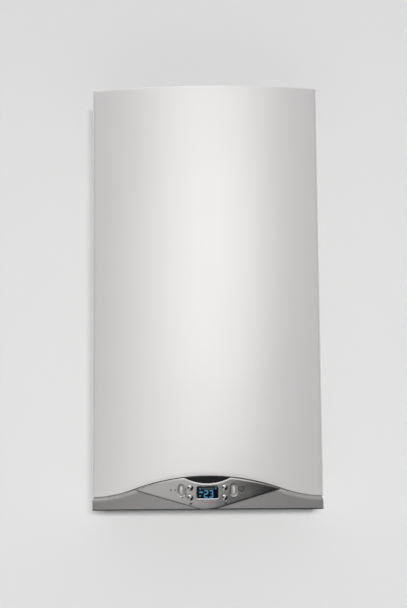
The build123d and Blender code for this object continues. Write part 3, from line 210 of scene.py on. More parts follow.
class Tree:
    """The nodes of one material, or of the world."""

    def __init__(self, owner):
        owner.use_nodes = True
        self.nodes, self.links = owner.node_tree.nodes, owner.node_tree.links
        self.nodes.clear()

    def node(self, kind, settings=None, *values, output=0, **named):
        """Adds a node: its settings first, then values or links for its sockets."""
        made = self.nodes.new(kind)
        for key, setting in (settings or {}).items():
            setattr(made, key, setting)
        for socket, value in [*zip(made.inputs, values),
                              *((made.inputs[k.replace("_", " ")], v) for k, v in named.items())]:
            if isinstance(value, Wire):
                self.links.new(value.socket, socket)
            elif value is not None:
                socket.default_value = value
        return Wire(self, made.outputs[output]) if len(made.outputs) else None

    def place(self):
        """Object coordinates, in metres."""
        return self.node("ShaderNodeTexCoord", output="Object")

    def axes(self):
        """The three object coordinates apart."""
        split = self.node("ShaderNodeSeparateXYZ", None, self.place())
        return [Wire(self, out) for out in split.socket.node.outputs]

    def noise(self, scale, detail=3.0, stretch=(1, 1, 1)):
        """Soft noise from 0 to 1 with about `scale` blots in a metre, stretched by axis."""
        where = self.node("ShaderNodeVectorMath", {"operation": "MULTIPLY"}, self.place(), stretch)
        return self.node("ShaderNodeTexNoise", None, Vector=where, Scale=scale, Detail=detail,
                         Roughness=0.55)

    def ramp(self, value, *stops):
        """Maps a value to the greys or colours of its stops, in straight lines."""
        made = self.node("ShaderNodeValToRGB", None, value)
        elements = made.socket.node.color_ramp.elements
        while len(elements) < len(stops):
            elements.new(0.5)
        for element, (place, colour) in zip(elements, stops):
            element.position = place
            element.color = (*colour, 1) if isinstance(colour, tuple) else (colour,) * 3 + (1,)
        return made

    def mix(self, factor, first, second, blend="MIX"):
        """Mixes two colours."""
        made = self.nodes.new("ShaderNodeMix")
        made.data_type, made.blend_type = "RGBA", blend
        for index, value in ((0, factor), (6, first), (7, second)):
            if isinstance(value, Wire):
                self.links.new(value.socket, made.inputs[index])
            else:
                made.inputs[index].default_value = value if index == 0 else (*value, 1)
        return Wire(self, made.outputs[2])

    def smooth(self, value, start, end):
        """Eases from 0 to 1 as the value goes from `start` to `end`."""
        return self.node("ShaderNodeMapRange", {"interpolation_type": "SMOOTHSTEP"}, value, start,
                         end, 0.0, 1.0)

    def bump(self, height, strength, distance):
        """A normal from a height."""
        return self.node("ShaderNodeBump", None, Strength=strength, Distance=distance, Height=height)


def finish(name, build, **constants):
    """A material: `constants` sit on the shader's own sockets, `build` returns what varies."""
    material = bpy.data.materials.new(name)
    tree = Tree(material)
    varying = build(tree) if build else {}
    shader = tree.node("ShaderNodeBsdfPrincipled", None, **constants, **varying)
    tree.node("ShaderNodeOutputMaterial", None, Surface=shader)
    return material


def tint(colour, amount):
    """A colour made lighter or darker by a share."""
    return tuple(min(1.0, c * (1 + amount)) for c in colour)


def cloudy(tree, colour, scale, amount):
    """A colour that drifts lighter and darker by a share, in soft blots."""
    drift = tree.noise(scale, 4.0)
    return tree.ramp(drift, (0.3, tint(colour, -amount)), (0.7, tint(colour, amount)))


# --- Finishes ---
FLAME_HEIGHT = 0.43
HIGHLIGHT_START, HIGHLIGHT_FULL = 9.0 * MM, 1.5 * MM  # below the fascia's top: where its painted highlight begins, and where it is full
SHADE_LINE_START, SHADE_LINE_FULL = 2.0 * MM, 1.2 * MM  # heights between which the painted shade line along the fascia's foot darkens in


def pearl_paint(tree):
    """Pearl white lacquer: a faint flake under a smooth clear coat with slight orange peel."""
    colour = cloudy(tree, (0.845, 0.826, 0.822), 6, 0.006)
    flake = tree.noise(2600, 1)
    colour = tree.mix(0.03, colour, tree.ramp(flake, (0.35, 0.6), (0.7, 1.0)), "MULTIPLY")
    peel = tree.noise(420, 2)
    return {
        "Base_Color": colour,
        "Roughness": tree.ramp(tree.noise(9, 3), (0.3, 0.285), (0.7, 0.315)),
        "Normal": tree.bump(peel, 0.05, 0.0002),
    }


def powder_coat(tree):
    """White powder coat with a fine even peel and a little dust."""
    return {
        "Base_Color": cloudy(tree, (0.82, 0.815, 0.80), 14, 0.02),
        "Roughness": tree.ramp(tree.noise(30), (0.3, 0.34), (0.7, 0.44)),
        "Normal": tree.bump(tree.noise(900, 2), 0.12, 0.0003),
    }


def spangle(tree):
    """Galvanised sheet: crystals of zinc of slightly different grey."""
    cells = tree.node("ShaderNodeTexVoronoi", {"feature": "F1"}, Vector=tree.place(), Scale=85.0,
                      output="Color")
    level = tree.node("ShaderNodeSeparateColor", None, cells)
    smear = tree.noise(12, 4, (1, 1, 0.3))
    return {
        "Base_Color": tree.ramp(level * 0.6 + smear * 0.4, (0.2, (0.50, 0.52, 0.53)),
                                (0.8, (0.66, 0.68, 0.69))),
        "Roughness": tree.ramp(level, (0.0, 0.34), (1.0, 0.5)),
        "Normal": tree.bump(tree.noise(700, 2), 0.06, 0.0002),
    }


def brushed(colour, low=0.28, high=0.42, along=(1, 1, 14)):
    """Metal brushed along one axis, with a soft cloud of handling; `low` and `high` are roughness."""

    def build(tree):
        lines = tree.noise(320, 3, tuple(1 / a for a in along))
        return {
            "Base_Color": cloudy(tree, colour, 9, 0.06),
            "Roughness": tree.ramp(lines, (0.3, low), (0.7, high)),
            "Normal": tree.bump(lines, 0.12, 0.0002),
        }

    return build


def heat_tinted(tree):
    """Stainless steel browned and blued by the flame, most at the height of the flame."""
    z = tree.axes()[2]
    heat = tree.noise(18, 4) * 0.5 + abs(z - FLAME_HEIGHT) * 2.2
    return {
        "Base_Color": tree.ramp(heat, (0.2, (0.36, 0.30, 0.30)), (0.42, (0.52, 0.43, 0.33)),
                                (0.62, (0.56, 0.54, 0.51))),
        "Roughness": tree.ramp(tree.noise(260, 3, (1, 1, 0.1)), (0.3, 0.3), (0.7, 0.46)),
    }


def flaked_plastic(colour, low, high, flake=0.05, peel=0.06):
    """Silver plastic: a fine metallic flake moulded in or sprayed on."""

    def build(tree):
        speck = tree.noise(1900, 2)
        soft = cloudy(tree, colour, 16, 0.015)
        return {
            "Base_Color": tree.mix(1.0, soft, tree.ramp(speck, (0.3, 1 - flake), (0.7, 1.0)),
                                   "MULTIPLY"),
            "Roughness": tree.ramp(tree.noise(60, 3), (0.3, low), (0.7, high)),
            "Normal": tree.bump(speck, peel, 0.0001),
        }

    return build


def silver_with_painted_light(tree):
    """The fascia's silver: a painted highlight where it rolls over at the top, and a painted shade
    line along its lowest edge.

    The top is the wave's side arc, a circle about a point above the casing's side.
    """
    x, _, z = tree.axes()
    from_side = HALF - abs(x)
    arc_drop = ((END_RADIUS + WAVE_GAP) ** 2 - from_side * from_side) ** 0.5
    top = WAVE_END + END_RADIUS - arc_drop
    made = flaked_plastic((0.285, 0.279, 0.276), 0.27, 0.33)(tree)
    painted_highlight = tree.smooth(top - z, HIGHLIGHT_START, HIGHLIGHT_FULL)
    painted_shade = tree.smooth(z, SHADE_LINE_START, SHADE_LINE_FULL)
    # the paler silver is a painted highlight on the rolled top
    colour = tree.mix(painted_highlight, made["Base_Color"], (0.48, 0.47, 0.465))
    # the near-black is a painted shade line along the foot
    made["Base_Color"] = tree.mix(painted_shade, colour, (0.02, 0.02, 0.02))
    return made


def smooth_plastic(colour, low=0.3, high=0.42, grain=600, depth=0.1):
    """Moulded plastic or rubber with a fine grain."""

    def build(tree):
        return {
            "Base_Color": cloudy(tree, colour, 30, 0.06),
            "Roughness": tree.ramp(tree.noise(45), (0.3, low), (0.7, high)),
            "Normal": tree.bump(tree.noise(grain, 2), depth, 0.0003),
        }

    return build


def cast_metal(colour, low=0.38, high=0.56, depth=0.35):
    """Cast or forged metal: a sandy skin with darker hollows."""

    def build(tree):
        sand = tree.noise(480, 4)
        stain = tree.noise(22, 4)
        return {
            "Base_Color": tree.mix(tree.ramp(stain, (0.35, 0.0), (0.75, 0.55)), colour,
                                   tint(colour, -0.28)),
            "Roughness": tree.ramp(stain, (0.3, low), (0.7, high)),
            "Normal": tree.bump(sand, depth, 0.0004),
        }

    return build


def drawn_copper(tree):
    """Copper tube and fins with brown tarnish in patches."""
    patch = tree.noise(16, 5)
    return {
        "Base_Color": tree.ramp(patch, (0.3, (0.50, 0.24, 0.15)), (0.55, (0.74, 0.40, 0.27)),
                                (0.8, (0.82, 0.49, 0.34))),
        "Roughness": tree.ramp(patch, (0.3, 0.42), (0.75, 0.22)),
        "Normal": tree.bump(tree.noise(240, 3), 0.05, 0.0002),
    }


def solder_mask(tree):
    """Green circuit board with a faint grid of tracks."""
    x, _, z = tree.axes()
    lines = tree.node("ShaderNodeTexBrick", {"offset": 0.37, "squash": 0.7}, Vector=tree.node(
        "ShaderNodeCombineXYZ", None, x, z, 0.0), Color1=(0.03, 0.20, 0.09, 1),
        Color2=(0.04, 0.25, 0.11, 1), Mortar=(0.10, 0.36, 0.17, 1), Scale=90.0,
        Mortar_Size=0.035)
    return {
        "Base_Color": lines,
        "Roughness": tree.ramp(tree.noise(80), (0.3, 0.22), (0.7, 0.34)),
    }


def fibre_board(tree):
    """White insulation board with short fibres."""
    fibres = tree.noise(300, 5, (1, 1, 0.15))
    return {
        "Base_Color": tree.ramp(fibres, (0.3, (0.70, 0.67, 0.60)), (0.7, (0.88, 0.86, 0.81))),
        "Normal": tree.bump(fibres, 0.6, 0.0008),
    }


FINISHES = {
    "cover_paint": finish("pearl_paint", pearl_paint, Metallic=0.36, Coat_Weight=0.9,
                          Coat_Roughness=0.05, Coat_IOR=1.45),
    "casing_paint": finish("powder_coat", powder_coat),
    "galvanised_steel": finish("galvanised_steel", spangle, Metallic=0.9),
    "burner_steel": finish("burner_steel", heat_tinted, Metallic=0.95),
    # the fascia's silver carries a painted highlight at its top and a painted shade line at its foot
    "silver_plastic": finish("fascia_silver", silver_with_painted_light, Metallic=0.25),
    "lens_plastic": finish("panel_silver", flaked_plastic((0.62, 0.605, 0.60), 0.13, 0.17, 0.08,
                                                          0.02), Metallic=1.0),
    "badge_black": finish("badge_black", smooth_plastic((0.008, 0.008, 0.009), 0.08, 0.14, 300, 0.01),
                          Specular_IOR_Level=0.22),
    "display_window": finish("display_window", smooth_plastic((0.003, 0.005, 0.008), 0.07, 0.12,
                                                              300, 0.01), Specular_IOR_Level=0.12),
    "button_metal": finish("button_metal", brushed((0.52, 0.51, 0.505), 0.14, 0.2, (1, 1, 1)),
                           Metallic=1.0),
    "wheel_plastic": finish("wheel_silver", flaked_plastic((0.68, 0.67, 0.66), 0.25, 0.33),
                            Metallic=0.5),
    "circuit_board": finish("circuit_board", solder_mask, Coat_Weight=0.3),
    "box_plastic": finish("box_plastic", smooth_plastic((0.17, 0.172, 0.18), 0.42, 0.55, 800, 0.3)),
    "black_plastic": finish("black_plastic", smooth_plastic((0.03, 0.03, 0.032), 0.36, 0.5)),
    "red_plastic": finish("red_plastic", smooth_plastic((0.50, 0.035, 0.025), 0.28, 0.38)),
    "vessel_paint": finish("vessel_enamel", smooth_plastic((0.42, 0.035, 0.03), 0.3, 0.42, 260, 0.1),
                           Coat_Weight=0.2),
    "brass": finish("brass", cast_metal((0.72, 0.55, 0.28), 0.28, 0.44, 0.15), Metallic=1.0),
    "copper": finish("copper", drawn_copper, Metallic=1.0),
    "aluminium": finish("cast_aluminium", cast_metal((0.66, 0.66, 0.66)), Metallic=0.95),
    "motor_steel": finish("motor_steel", brushed((0.36, 0.37, 0.39), 0.3, 0.45, (14, 1, 1)),
                          Metallic=0.95),
    "cast_iron": finish("cast_iron", cast_metal((0.09, 0.092, 0.10), 0.4, 0.6, 0.5), Metallic=0.4),
    "insulation": finish("fibre_board", fibre_board, Roughness=0.9),
    "electrode_ceramic": finish("glazed_ceramic", smooth_plastic((0.88, 0.87, 0.84), 0.12, 0.2)),
    "sight_pane": finish("sight_pane", smooth_plastic((0.30, 0.33, 0.31), 0.04, 0.08, 200, 0.01),
                         Transmission_Weight=0.7, IOR=1.47),
    "rubber": finish("rubber", smooth_plastic((0.045, 0.045, 0.045), 0.55, 0.7, 500, 0.2)),
    "screw_steel": finish("zinc_steel", brushed((0.62, 0.62, 0.60), 0.28, 0.4, (1, 1, 1)),
                          Metallic=1.0),
    "digit_glow": finish("digit_glow", None, Base_Color=(0.02, 0.10, 0.16, 1), Roughness=0.3,
                         Emission_Color=(0.03, 0.20, 0.34, 1), Emission_Strength=1.0),
    "scale_grey": finish("scale_grey", None, Base_Color=(0.09, 0.085, 0.085, 1), Roughness=0.35),
    "mark_ink": finish("mark_ink", smooth_plastic((0.012, 0.012, 0.012), 0.5, 0.6),
                       Specular_IOR_Level=0.2),
}
for part in frame["record"]["subparts"]:
    mesh = nodes[part["node"]].data
    mesh.materials.clear()
    mesh.materials.append(FINISHES[part["material_slot"]])


# --- Front cover and fascia ---
BOW_STEPS = 220


def plan_outline(front_inset, side_inset, rear):
    """Points and outward normals of the casing's plan, from the left rear to the right rear.

    Each side is straight, each corner an arc that is tangent to the side and to the bow, and
    the front is the bow's arc.
    """
    half = HALF - side_inset
    bow = BOW_RADIUS - front_inset
    corner_x = half - CORNER
    corner_y = BOW_CENTRE - math.sqrt((bow - CORNER) ** 2 - corner_x**2)
    turn = math.atan2(corner_x, BOW_CENTRE - corner_y)
    side_y = np.linspace(-rear, corner_y, 6)[:-1]
    corner_angle = np.linspace(math.pi / 2, turn, 9)[:-1]
    bow_angle = np.linspace(turn, 0, BOW_STEPS // 2 + 1)
    side = np.stack([np.full_like(side_y, half), side_y], -1)
    bend = np.stack([corner_x + CORNER * np.sin(corner_angle),
                     corner_y - CORNER * np.cos(corner_angle)], -1)
    front = np.stack([bow * np.sin(bow_angle), BOW_CENTRE - bow * np.cos(bow_angle)], -1)
    right = np.concatenate([side, bend, front])
    angles = np.concatenate([np.full(len(side_y), math.pi / 2), corner_angle, bow_angle])
    right_normals = np.stack([np.sin(angles), -np.cos(angles)], -1)
    flip = np.array([-1, 1])
    points = np.concatenate([right * flip, right[-2::-1]])
    normals = np.concatenate([right_normals * flip, right_normals[-2::-1]])
    return points, normals


def bowed_shell(outline, normals, profile, rear):
    """Carries a profile round the plan.

    Each row of the profile gives an inset from the plan, a height and how far the row has
    run from there to the rear edge, for every point of the outline.
    """
    edge = HALF - CORNER
    first = np.argmax(np.abs(outline[:, 0]) <= edge + 1e-9)
    last = len(outline) - 1 - first
    rear_x = outline[:, 0].copy()
    rear_x[:first] = np.linspace(outline[0, 0], outline[first, 0], first, endpoint=False)
    rear_x[last + 1:] = -rear_x[:first][::-1]
    rows = []
    for inset, height, run in profile:
        at = outline - normals * np.asarray(inset).reshape(-1, 1)
        x = at[:, 0] * (1 - run) + rear_x * run
        y = at[:, 1] * (1 - run) - rear * run
        rows.append(np.stack([x, y, height + np.zeros_like(x)], -1))
    return np.concatenate(rows), grid_faces(len(rows), len(outline))


def quarter(count):
    """Angles of a quarter turn."""
    return np.linspace(0, math.pi / 2, count)


def rise(count):
    """Shares above 0, up to 1."""
    return np.linspace(0, 1, count)[1:]


SKIN = 0.05 * MM  # how far a skin lies outside the solid that it clothes
BEAD = 0.35 * MM  # drop of the cover's rounded lower edge
BEAD_RETURN = 1.5 * MM  # how far the skin runs up inside the cover
TOP_EDGE = 1.0 * MM  # radius
FOOT_ROLL = 0.8 * MM  # radius
SHOULDER = 8.0 * MM  # radius of the fascia's shoulder at its ends
SHOULDER_TURN = math.radians(22)  # where the shoulder's arc runs on as a slope
SHOULDER_LIFT = 1.3 * MM  # how far the skin stands above the solid at its ends
SHOULDER_START, SHOULDER_RUN = 95 * MM, 60 * MM  # it grows outwards from here, over this length
SHOULDER_LEAST = 0.3  # its share in the middle


def cover_skin():
    """The lacquered skin of the cover, a profile carried round the plan.

    Half an ellipse's bead under the wavy edge, a straight rise, a quarter circle at the top
    edge and the flat top, which runs back to the rear edge.
    """
    outline, normals = plan_outline(-SKIN, -SKIN, COVER_BACK)
    low = wave_z(outline[:, 0])
    half_wall = COVER_SHEET / 2 + SKIN
    top = CASE_TOP + SKIN
    profile = [(2 * half_wall, low + BEAD_RETURN, 0.0)]
    profile += [(half_wall * (1 + math.cos(a)), low - BEAD * math.sin(a), 0.0)
                for a in np.linspace(0, math.pi, 13)]
    profile += [(0.0, low + (top - TOP_EDGE - low) * t, 0.0) for t in rise(90)]
    profile += [(TOP_EDGE * (1 - math.cos(a)), top - TOP_EDGE * (1 - math.sin(a)), 0.0)
                for a in quarter(7)[1:]]
    profile += [(TOP_EDGE, top, t) for t in rise(6)]
    points, faces = bowed_shell(outline, normals, profile, COVER_BACK)
    piece("cover_skin", points, faces, "front_cover", FINISHES["cover_paint"])


def fascia_skin():
    """The silver skin of the fascia, a profile carried round the plan.

    A narrow ledge under the foot, a quarter circle, a straight rise, an arc of SHOULDER_TURN
    that runs on as a slope up to the fascia's edge, and a flat ledge that runs back. The arc's
    radius and the skin's lift above the edge grow towards the ends.
    """
    outline, normals = plan_outline(LENS_SHEET - SKIN, -SKIN, FASCIA_BACK)
    x = outline[:, 0]
    share = np.clip((np.abs(x) - SHOULDER_START) / SHOULDER_RUN, SHOULDER_LEAST, 1)
    top = fascia_top(x) + SKIN + SHOULDER_LIFT * share
    radius = SHOULDER * share
    start = radius * (1 - math.cos(SHOULDER_TURN))
    reach = radius * (1 - math.sin(SHOULDER_TURN))
    slope = math.tan(SHOULDER_TURN)
    foot = FOOT_ROLL - SKIN
    profile = [(foot, -SKIN, run) for run in (0.1, 0.05)]
    profile += [(FOOT_ROLL * (1 - math.sin(a)), -SKIN + FOOT_ROLL * (1 - math.cos(a)), 0.0)
                for a in quarter(7)]
    profile += [(0.0, foot + (top - radius - foot) * t, 0.0) for t in rise(12)]
    profile += [(radius * (1 - math.cos(a)), top - radius * (1 - math.sin(a)), 0.0)
                for a in SHOULDER_TURN * rise(10)]
    profile += [(start + reach * t * slope, top - reach * (1 - t), 0.0) for t in rise(6)]
    profile += [(start + reach * slope, top, t) for t in rise(6)]
    points, faces = bowed_shell(outline, normals, profile, FASCIA_BACK)
    piece("fascia_skin", points, faces, "control_panel", FINISHES["silver_plastic"])


cover_skin()
fascia_skin()

# --- Control panel ---
SIDES = (("left", -1), ("right", 1))
BUTTON_X = 29.4 * MM
BUTTON_ROWS = (("upper", 36.9 * MM), ("lower", 20.3 * MM))
BUTTONS = [(side, row, sign * BUTTON_X, z) for side, sign in SIDES for row, z in BUTTON_ROWS]
BUTTON_RADIUS, BUTTON_HOLE = 4.9 * MM, 5.2 * MM
DOME, DOME_SWEEP, DOME_SHARE = 1.7 * MM, 0.95, 0.93  # height, half angle, share of the radius
CAP_SHOULDER, CAP_SKIRT = 0.4 * MM, 5.2 * MM  # depth of the soft shoulder, and of the whole cap
STEM_RADIUS = 1.8 * MM
WHEEL_X, WHEEL_Z = 44.8 * MM, 32.8 * MM
WHEEL_RADIUS, WHEEL_WIDTH = 9.4 * MM, 5.0 * MM
WHEEL_RIBS, RIB_DEPTH = 60, 0.35 * MM
AXLE_RADIUS = 1.5 * MM
SLOT_RADIUS, SLOT_HALF = 5.25 * MM, 4.55 * MM  # half the width, half the straight length
WINDOW_CORNER = 1.6 * MM
WINDOW_GAP = 0.2 * MM
DISPLAY_Z = (glass_low.z + glass_high.z) / 2
WINDOW_X, WINDOW_Z = glass_high.x + WINDOW_GAP, (glass_high.z - glass_low.z) / 2 + WINDOW_GAP
# Each rolled edge of the almond: its width over the face, and its depth.
TOP_LIP, KEEL_LIP = (2.4 * MM, 0.6 * MM), (1.2 * MM, 0.6 * MM)
SLOT_LIP, WINDOW_LIP = (1.6 * MM, 0.22 * MM), (1.3 * MM, 0.15 * MM)
BADGE_LIP = (1.2 * MM, 0.5 * MM)
BADGE_LIFT = 0.1 * MM  # how far the badge stands ahead of the bow
LENS_WALL, BADGE_WALL = 1.4 * MM, 1.2 * MM
BUTTON_POINTS, SLOT_POINTS, WINDOW_POINTS = 56, 72, 96  # of the loop round each opening


def badge_z(x, gap=0.0):
    """Lower edge of the badge: the lowest arc of a circle."""
    reach = BADGE_RADIUS + gap
    ax = np.minimum(np.abs(np.asarray(x, float)), reach)
    return BADGE_BOTTOM + BADGE_RADIUS - np.sqrt(reach**2 - ax**2)


def lens_top(x):
    """Upper edge of the almond: the fascia's, cut by the badge."""
    return np.minimum(fascia_top(x), badge_z(x, INLAY_GAP))


def lip(distance, width, depth):
    """Drop of a rounded edge: a quarter ellipse over `width` from the edge."""
    left = np.clip(1 - distance / width, 0, 1)
    return depth * (1 - np.sqrt(1 - left**2))


def slot_distance(x, z):
    """Distance outside the nearer wheel slot: a capsule standing upright."""
    dz = np.maximum(np.abs(z - WHEEL_Z) - SLOT_HALF, 0)
    return np.hypot(np.abs(x) - WHEEL_X, dz) - SLOT_RADIUS


def window_distance(x, z):
    """Distance outside the display window: a rectangle with round corners."""
    dx = np.abs(x) - WINDOW_X + WINDOW_CORNER
    dz = np.abs(z - DISPLAY_Z) - WINDOW_Z + WINDOW_CORNER
    outside = np.hypot(np.maximum(dx, 0), np.maximum(dz, 0))
    return outside + np.minimum(np.maximum(dx, dz), 0) - WINDOW_CORNER


def button_distance(x, z):
    """Distance outside the nearest button hole."""
    return np.min([np.hypot(x - bx, z - bz) for _, _, bx, bz in BUTTONS], 0) - BUTTON_HOLE


def hole_distance(x, z):
    """Distance outside the nearest opening of the panel."""
    return np.min([slot_distance(x, z), window_distance(x, z), button_distance(x, z)], 0)


def panel_y(x, z):
    """The almond's face: the bow, rolled off at its edges and at its slots and window."""
    drop = lip(lens_top(x) - z, *TOP_LIP) + lip(z - keel_z(x), *KEEL_LIP)
    return bow_y(x) + drop + lip(slot_distance(x, z), *SLOT_LIP) + lip(
        window_distance(x, z), *WINDOW_LIP)


def ring(centre_x, centre_z, half_x, half_z, corner, count):
    """A rectangle with round corners as a loop of points; a circle where it is all corner.

    Four quarters of a circle of radius `corner`, each moved out to its own corner.
    """
    angle = np.linspace(0, 2 * math.pi, count, endpoint=False) + 1e-3
    cx, cz = half_x - corner, half_z - corner
    x = centre_x + corner * np.cos(angle) + np.sign(np.cos(angle)) * cx
    z = centre_z + corner * np.sin(angle) + np.sign(np.sin(angle)) * cz
    return np.stack([x, z], -1)


def openings(gap):
    """Loops round every opening of the panel, `gap` outside its edge."""
    hole, radius = BUTTON_HOLE + gap, SLOT_RADIUS + gap
    loops = [ring(bx, bz, hole, hole, hole, BUTTON_POINTS) for _, _, bx, bz in BUTTONS]
    loops += [ring(sign * WHEEL_X, WHEEL_Z, radius, SLOT_HALF + radius, radius, SLOT_POINTS)
              for _, sign in SIDES]
    loops.append(ring(0, DISPLAY_Z, WINDOW_X + gap, WINDOW_Z + gap, WINDOW_CORNER + gap,
                      WINDOW_POINTS))
    return loops


EDGE_ROWS = (0.08, 0.2, 0.35, 0.6, 0.9, 1.3, 1.8, 2.4, 3.2)  # mm from a panel's edge
EDGE_MARGIN = 3.6 * MM  # the even grid starts this far from the edge
OPENING_ROWS = (0.15, 0.3, 0.5, 0.8, 1.1, 1.5, 1.9, 2.3)  # mm from an opening's edge


def filled(bottom, top, half, step, loops=(), extra=(), keep=None):
    """Triangles between two edge functions of x, with loops cut out of them.

    Their points are the edges, rows that follow each edge, an even grid further in, and
    `extra`; `keep` says which of the loose ones stay.
    """
    x = np.linspace(-half, half, int(2 * half / step) + 1)
    rim = np.concatenate([np.stack([x, bottom(x)], -1), np.stack([x, top(x)], -1)[-2:0:-1]])
    rows = []
    for share in EDGE_ROWS:
        near = share * MM
        for z, inside in ((bottom(x) + near, top(x)), (top(x) - near, bottom(x))):
            fits = np.abs(inside - z) > near
            rows.append(np.stack([x, z], -1)[fits])
    gx, gz = np.meshgrid(x, np.arange(bottom(x).min(), top(x).max(), step), indexing="ij")
    gx, gz = gx.ravel(), gz.ravel()
    inside = (gz > bottom(gx) + EDGE_MARGIN) & (gz < top(gx) - EDGE_MARGIN)
    loose = np.concatenate(rows + [np.stack([gx, gz], -1)[inside], *extra])
    if keep is not None:
        loose = loose[keep(loose[:, 0], loose[:, 1])]
    points, edges, start = [rim, *loops, loose], [], 0
    for loop in points[:-1]:
        count = len(loop)
        edges += [(start + n, start + (n + 1) % count) for n in range(count)]
        start += count
    in_mm = [Vector(p) for p in np.concatenate(points) * 1000]
    result = delaunay_2d_cdt(in_mm, edges, [list(range(len(rim)))], 1, 1e-6)
    corners = np.array([tuple(v) for v in result[0]]) / 1000
    faces = np.array([f for f in result[2] if len(f) == 3])
    if loops:
        middle = corners[faces].mean(1)
        faces = faces[hole_distance(middle[:, 0], middle[:, 1]) > 0]
    return corners, faces[:, ::-1]


def lift(flat, y):
    """Points of the front plane at their place in depth."""
    return np.stack([flat[:, 0], y, flat[:, 1]], -1)


def crossing(first, second, low, high):
    """Where two edge functions of x meet between `low` and `high`, by halving."""
    for _ in range(50):
        middle = (low + high) / 2
        if first(middle) > second(middle):
            low = middle
        else:
            high = middle
    return float(low)


def front_facing(points, faces):
    """Triangles turned so that they face -Y: where the edges' cross product points to +Y."""
    a, b, c = (points[faces[:, n]] for n in range(3))
    wrong = np.cross(b - a, c - a)[:, 1] > 0
    faces = faces.copy()
    faces[wrong] = faces[wrong][:, ::-1]
    return faces


LENS_TIP = crossing(fascia_top, keel_z, 0.05, 0.19)
BADGE_TIP = crossing(fascia_top, badge_z, 0.01, 0.08)


def on_lens(x, z):
    """Whether a point lies on the almond, clear of its edges and openings."""
    clear = 0.05 * MM
    return (hole_distance(x, z) > 2 * clear) & (z > keel_z(x) + clear) & (z < lens_top(x) - clear)


def control_lens():
    """The silver almond: a sheet between the keel and its top, with its openings."""
    rings = [loop for share in OPENING_ROWS for loop in openings(share * MM)]
    flat, faces = filled(keel_z, lens_top, half=LENS_TIP - 0.4 * MM, step=1.1 * MM,
                         loops=openings(0.0), extra=rings, keep=on_lens)
    points = lift(flat, panel_y(flat[:, 0], flat[:, 1]))
    lens = piece("control_lens_face", points, front_facing(points, faces), "control_panel",
                 FINISHES["lens_plastic"], ["control_lens"])
    solidify(lens, LENS_WALL)


def badge():
    """The bare black crescent: an inlay just ahead of the bow, rolled off at its lower edge."""
    flat, faces = filled(badge_z, fascia_top, half=BADGE_TIP - 0.2 * MM, step=1.0 * MM)
    x, z = flat.T
    points = lift(flat, bow_y(x) + lip(z - badge_z(x), *BADGE_LIP) - BADGE_LIFT)
    plate = piece("badge_crescent", points, front_facing(points, faces), "control_panel",
                  FINISHES["badge_black"], ["badge_plate"])
    solidify(plate, BADGE_WALL)


def turned(name, profile, centre, axis, node, slot, count=64, ribs=0, rib_depth=0.0):
    """A turned form: rows of (place along the axis, radius, share of the ribs) swung round it.

    Ribs lower the radius by `rib_depth` times 1 less the root of a cosine's size. The form
    rides on the body of its node and stands for it.
    """
    angle = np.linspace(0, 2 * math.pi, count, endpoint=False)
    wave = np.sqrt(np.abs(np.cos(angle * ribs / 2))) if ribs else np.ones(count)
    rows = []
    for along, radius, ribbed in profile:
        r = radius - ribbed * rib_depth * (1 - wave)
        a, b = r * np.cos(angle), r * np.sin(angle)
        along = np.full(count, along)
        rows.append(np.stack([along, a, b] if axis == "X" else [a, along, b], -1))
    points = np.concatenate(rows) + np.array(centre)
    piece(name, points, grid_faces(len(rows), count, close_columns=True), node, FINISHES[slot],
          [node], closed=True)


def buttons():
    """Four domed buttons turned about Y: an ellipsoid's cap, a soft shoulder, a skirt, a stem."""
    for side, row, x, z in BUTTONS:
        name = f"button_{side}_{row}"
        low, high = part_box(name)
        front, back = low.y, low.y + CAP_SKIRT
        dome_radius = BUTTON_RADIUS * DOME_SHARE
        cap = [(front + DOME * (1 - math.cos(a)) / (1 - math.cos(DOME_SWEEP)),
                dome_radius * math.sin(a) / math.sin(DOME_SWEEP), 0)
               for a in np.linspace(0, DOME_SWEEP, 10)]
        edge = BUTTON_RADIUS - dome_radius
        cap += [(front + DOME + CAP_SHOULDER * (1 - math.cos(a)),
                 dome_radius + edge * math.sin(a), 0) for a in np.linspace(0.3, math.pi / 2, 6)]
        stem = [(back, BUTTON_RADIUS, 0), (back, STEM_RADIUS, 0), (high.y, STEM_RADIUS, 0),
                (high.y, 0, 0)]
        turned(f"{name}_cap", cap + stem, (x, 0, z), "Y", name, "button_metal")


def wheels():
    """Two thumbwheels turned about X: a bevelled rim with fine ribs across it, and an axle."""
    half = WHEEL_WIDTH / 2
    bevel, step = 0.7 * MM, 0.1 * MM
    for side, sign in SIDES:
        name = f"wheel_{side}"
        low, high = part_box(name)
        reach = max(abs(low.x), abs(high.x)) - WHEEL_X
        face = [(half - step, WHEEL_RADIUS - bevel, 0.5), (half, WHEEL_RADIUS - 2 * bevel, 0)]
        rim = [(-half, 0, 0), *((-a, r, k) for a, r, k in reversed(face))]
        rim += [(t * (half - bevel), WHEEL_RADIUS, 1) for t in np.linspace(-1, 1, 7)]
        rim += [*face, (half, AXLE_RADIUS, 0), (reach, AXLE_RADIUS, 0), (reach, 0, 0)]
        profile = [(sign * along, radius, ribbed) for along, radius, ribbed in rim]
        centre = (sign * WHEEL_X, low.y + WHEEL_RADIUS, WHEEL_Z)
        turned(f"{name}_ribbed", profile, centre, "X", name, "wheel_plastic", count=360,
               ribs=WHEEL_RIBS, rib_depth=RIB_DEPTH)


def ribbon(path, width):
    """Points and faces of a flat stroke of even width along a path in the front plane.

    Each point of the path gets one to either side, square to the line through its neighbours.
    """
    before = np.concatenate([path[:1], path[:-1]])
    after = np.concatenate([path[1:], path[-1:]])
    along = after - before
    along /= np.maximum(np.linalg.norm(along, axis=1, keepdims=True), 1e-12)
    side = np.stack([-along[:, 1], along[:, 0]], -1) * width / 2
    points = np.stack([path + side, path, path - side]).reshape(-1, 2)
    return points, grid_faces(3, len(path))


def arc(x, z, radius, start, end, count=14):
    """Points of a circle's arc in the front plane, by degrees."""
    a = np.radians(np.linspace(start, end, count))
    return np.stack([x + radius * np.cos(a), z + radius * np.sin(a)], -1)


PRINT = 0.04 * MM  # thickness of printed strokes


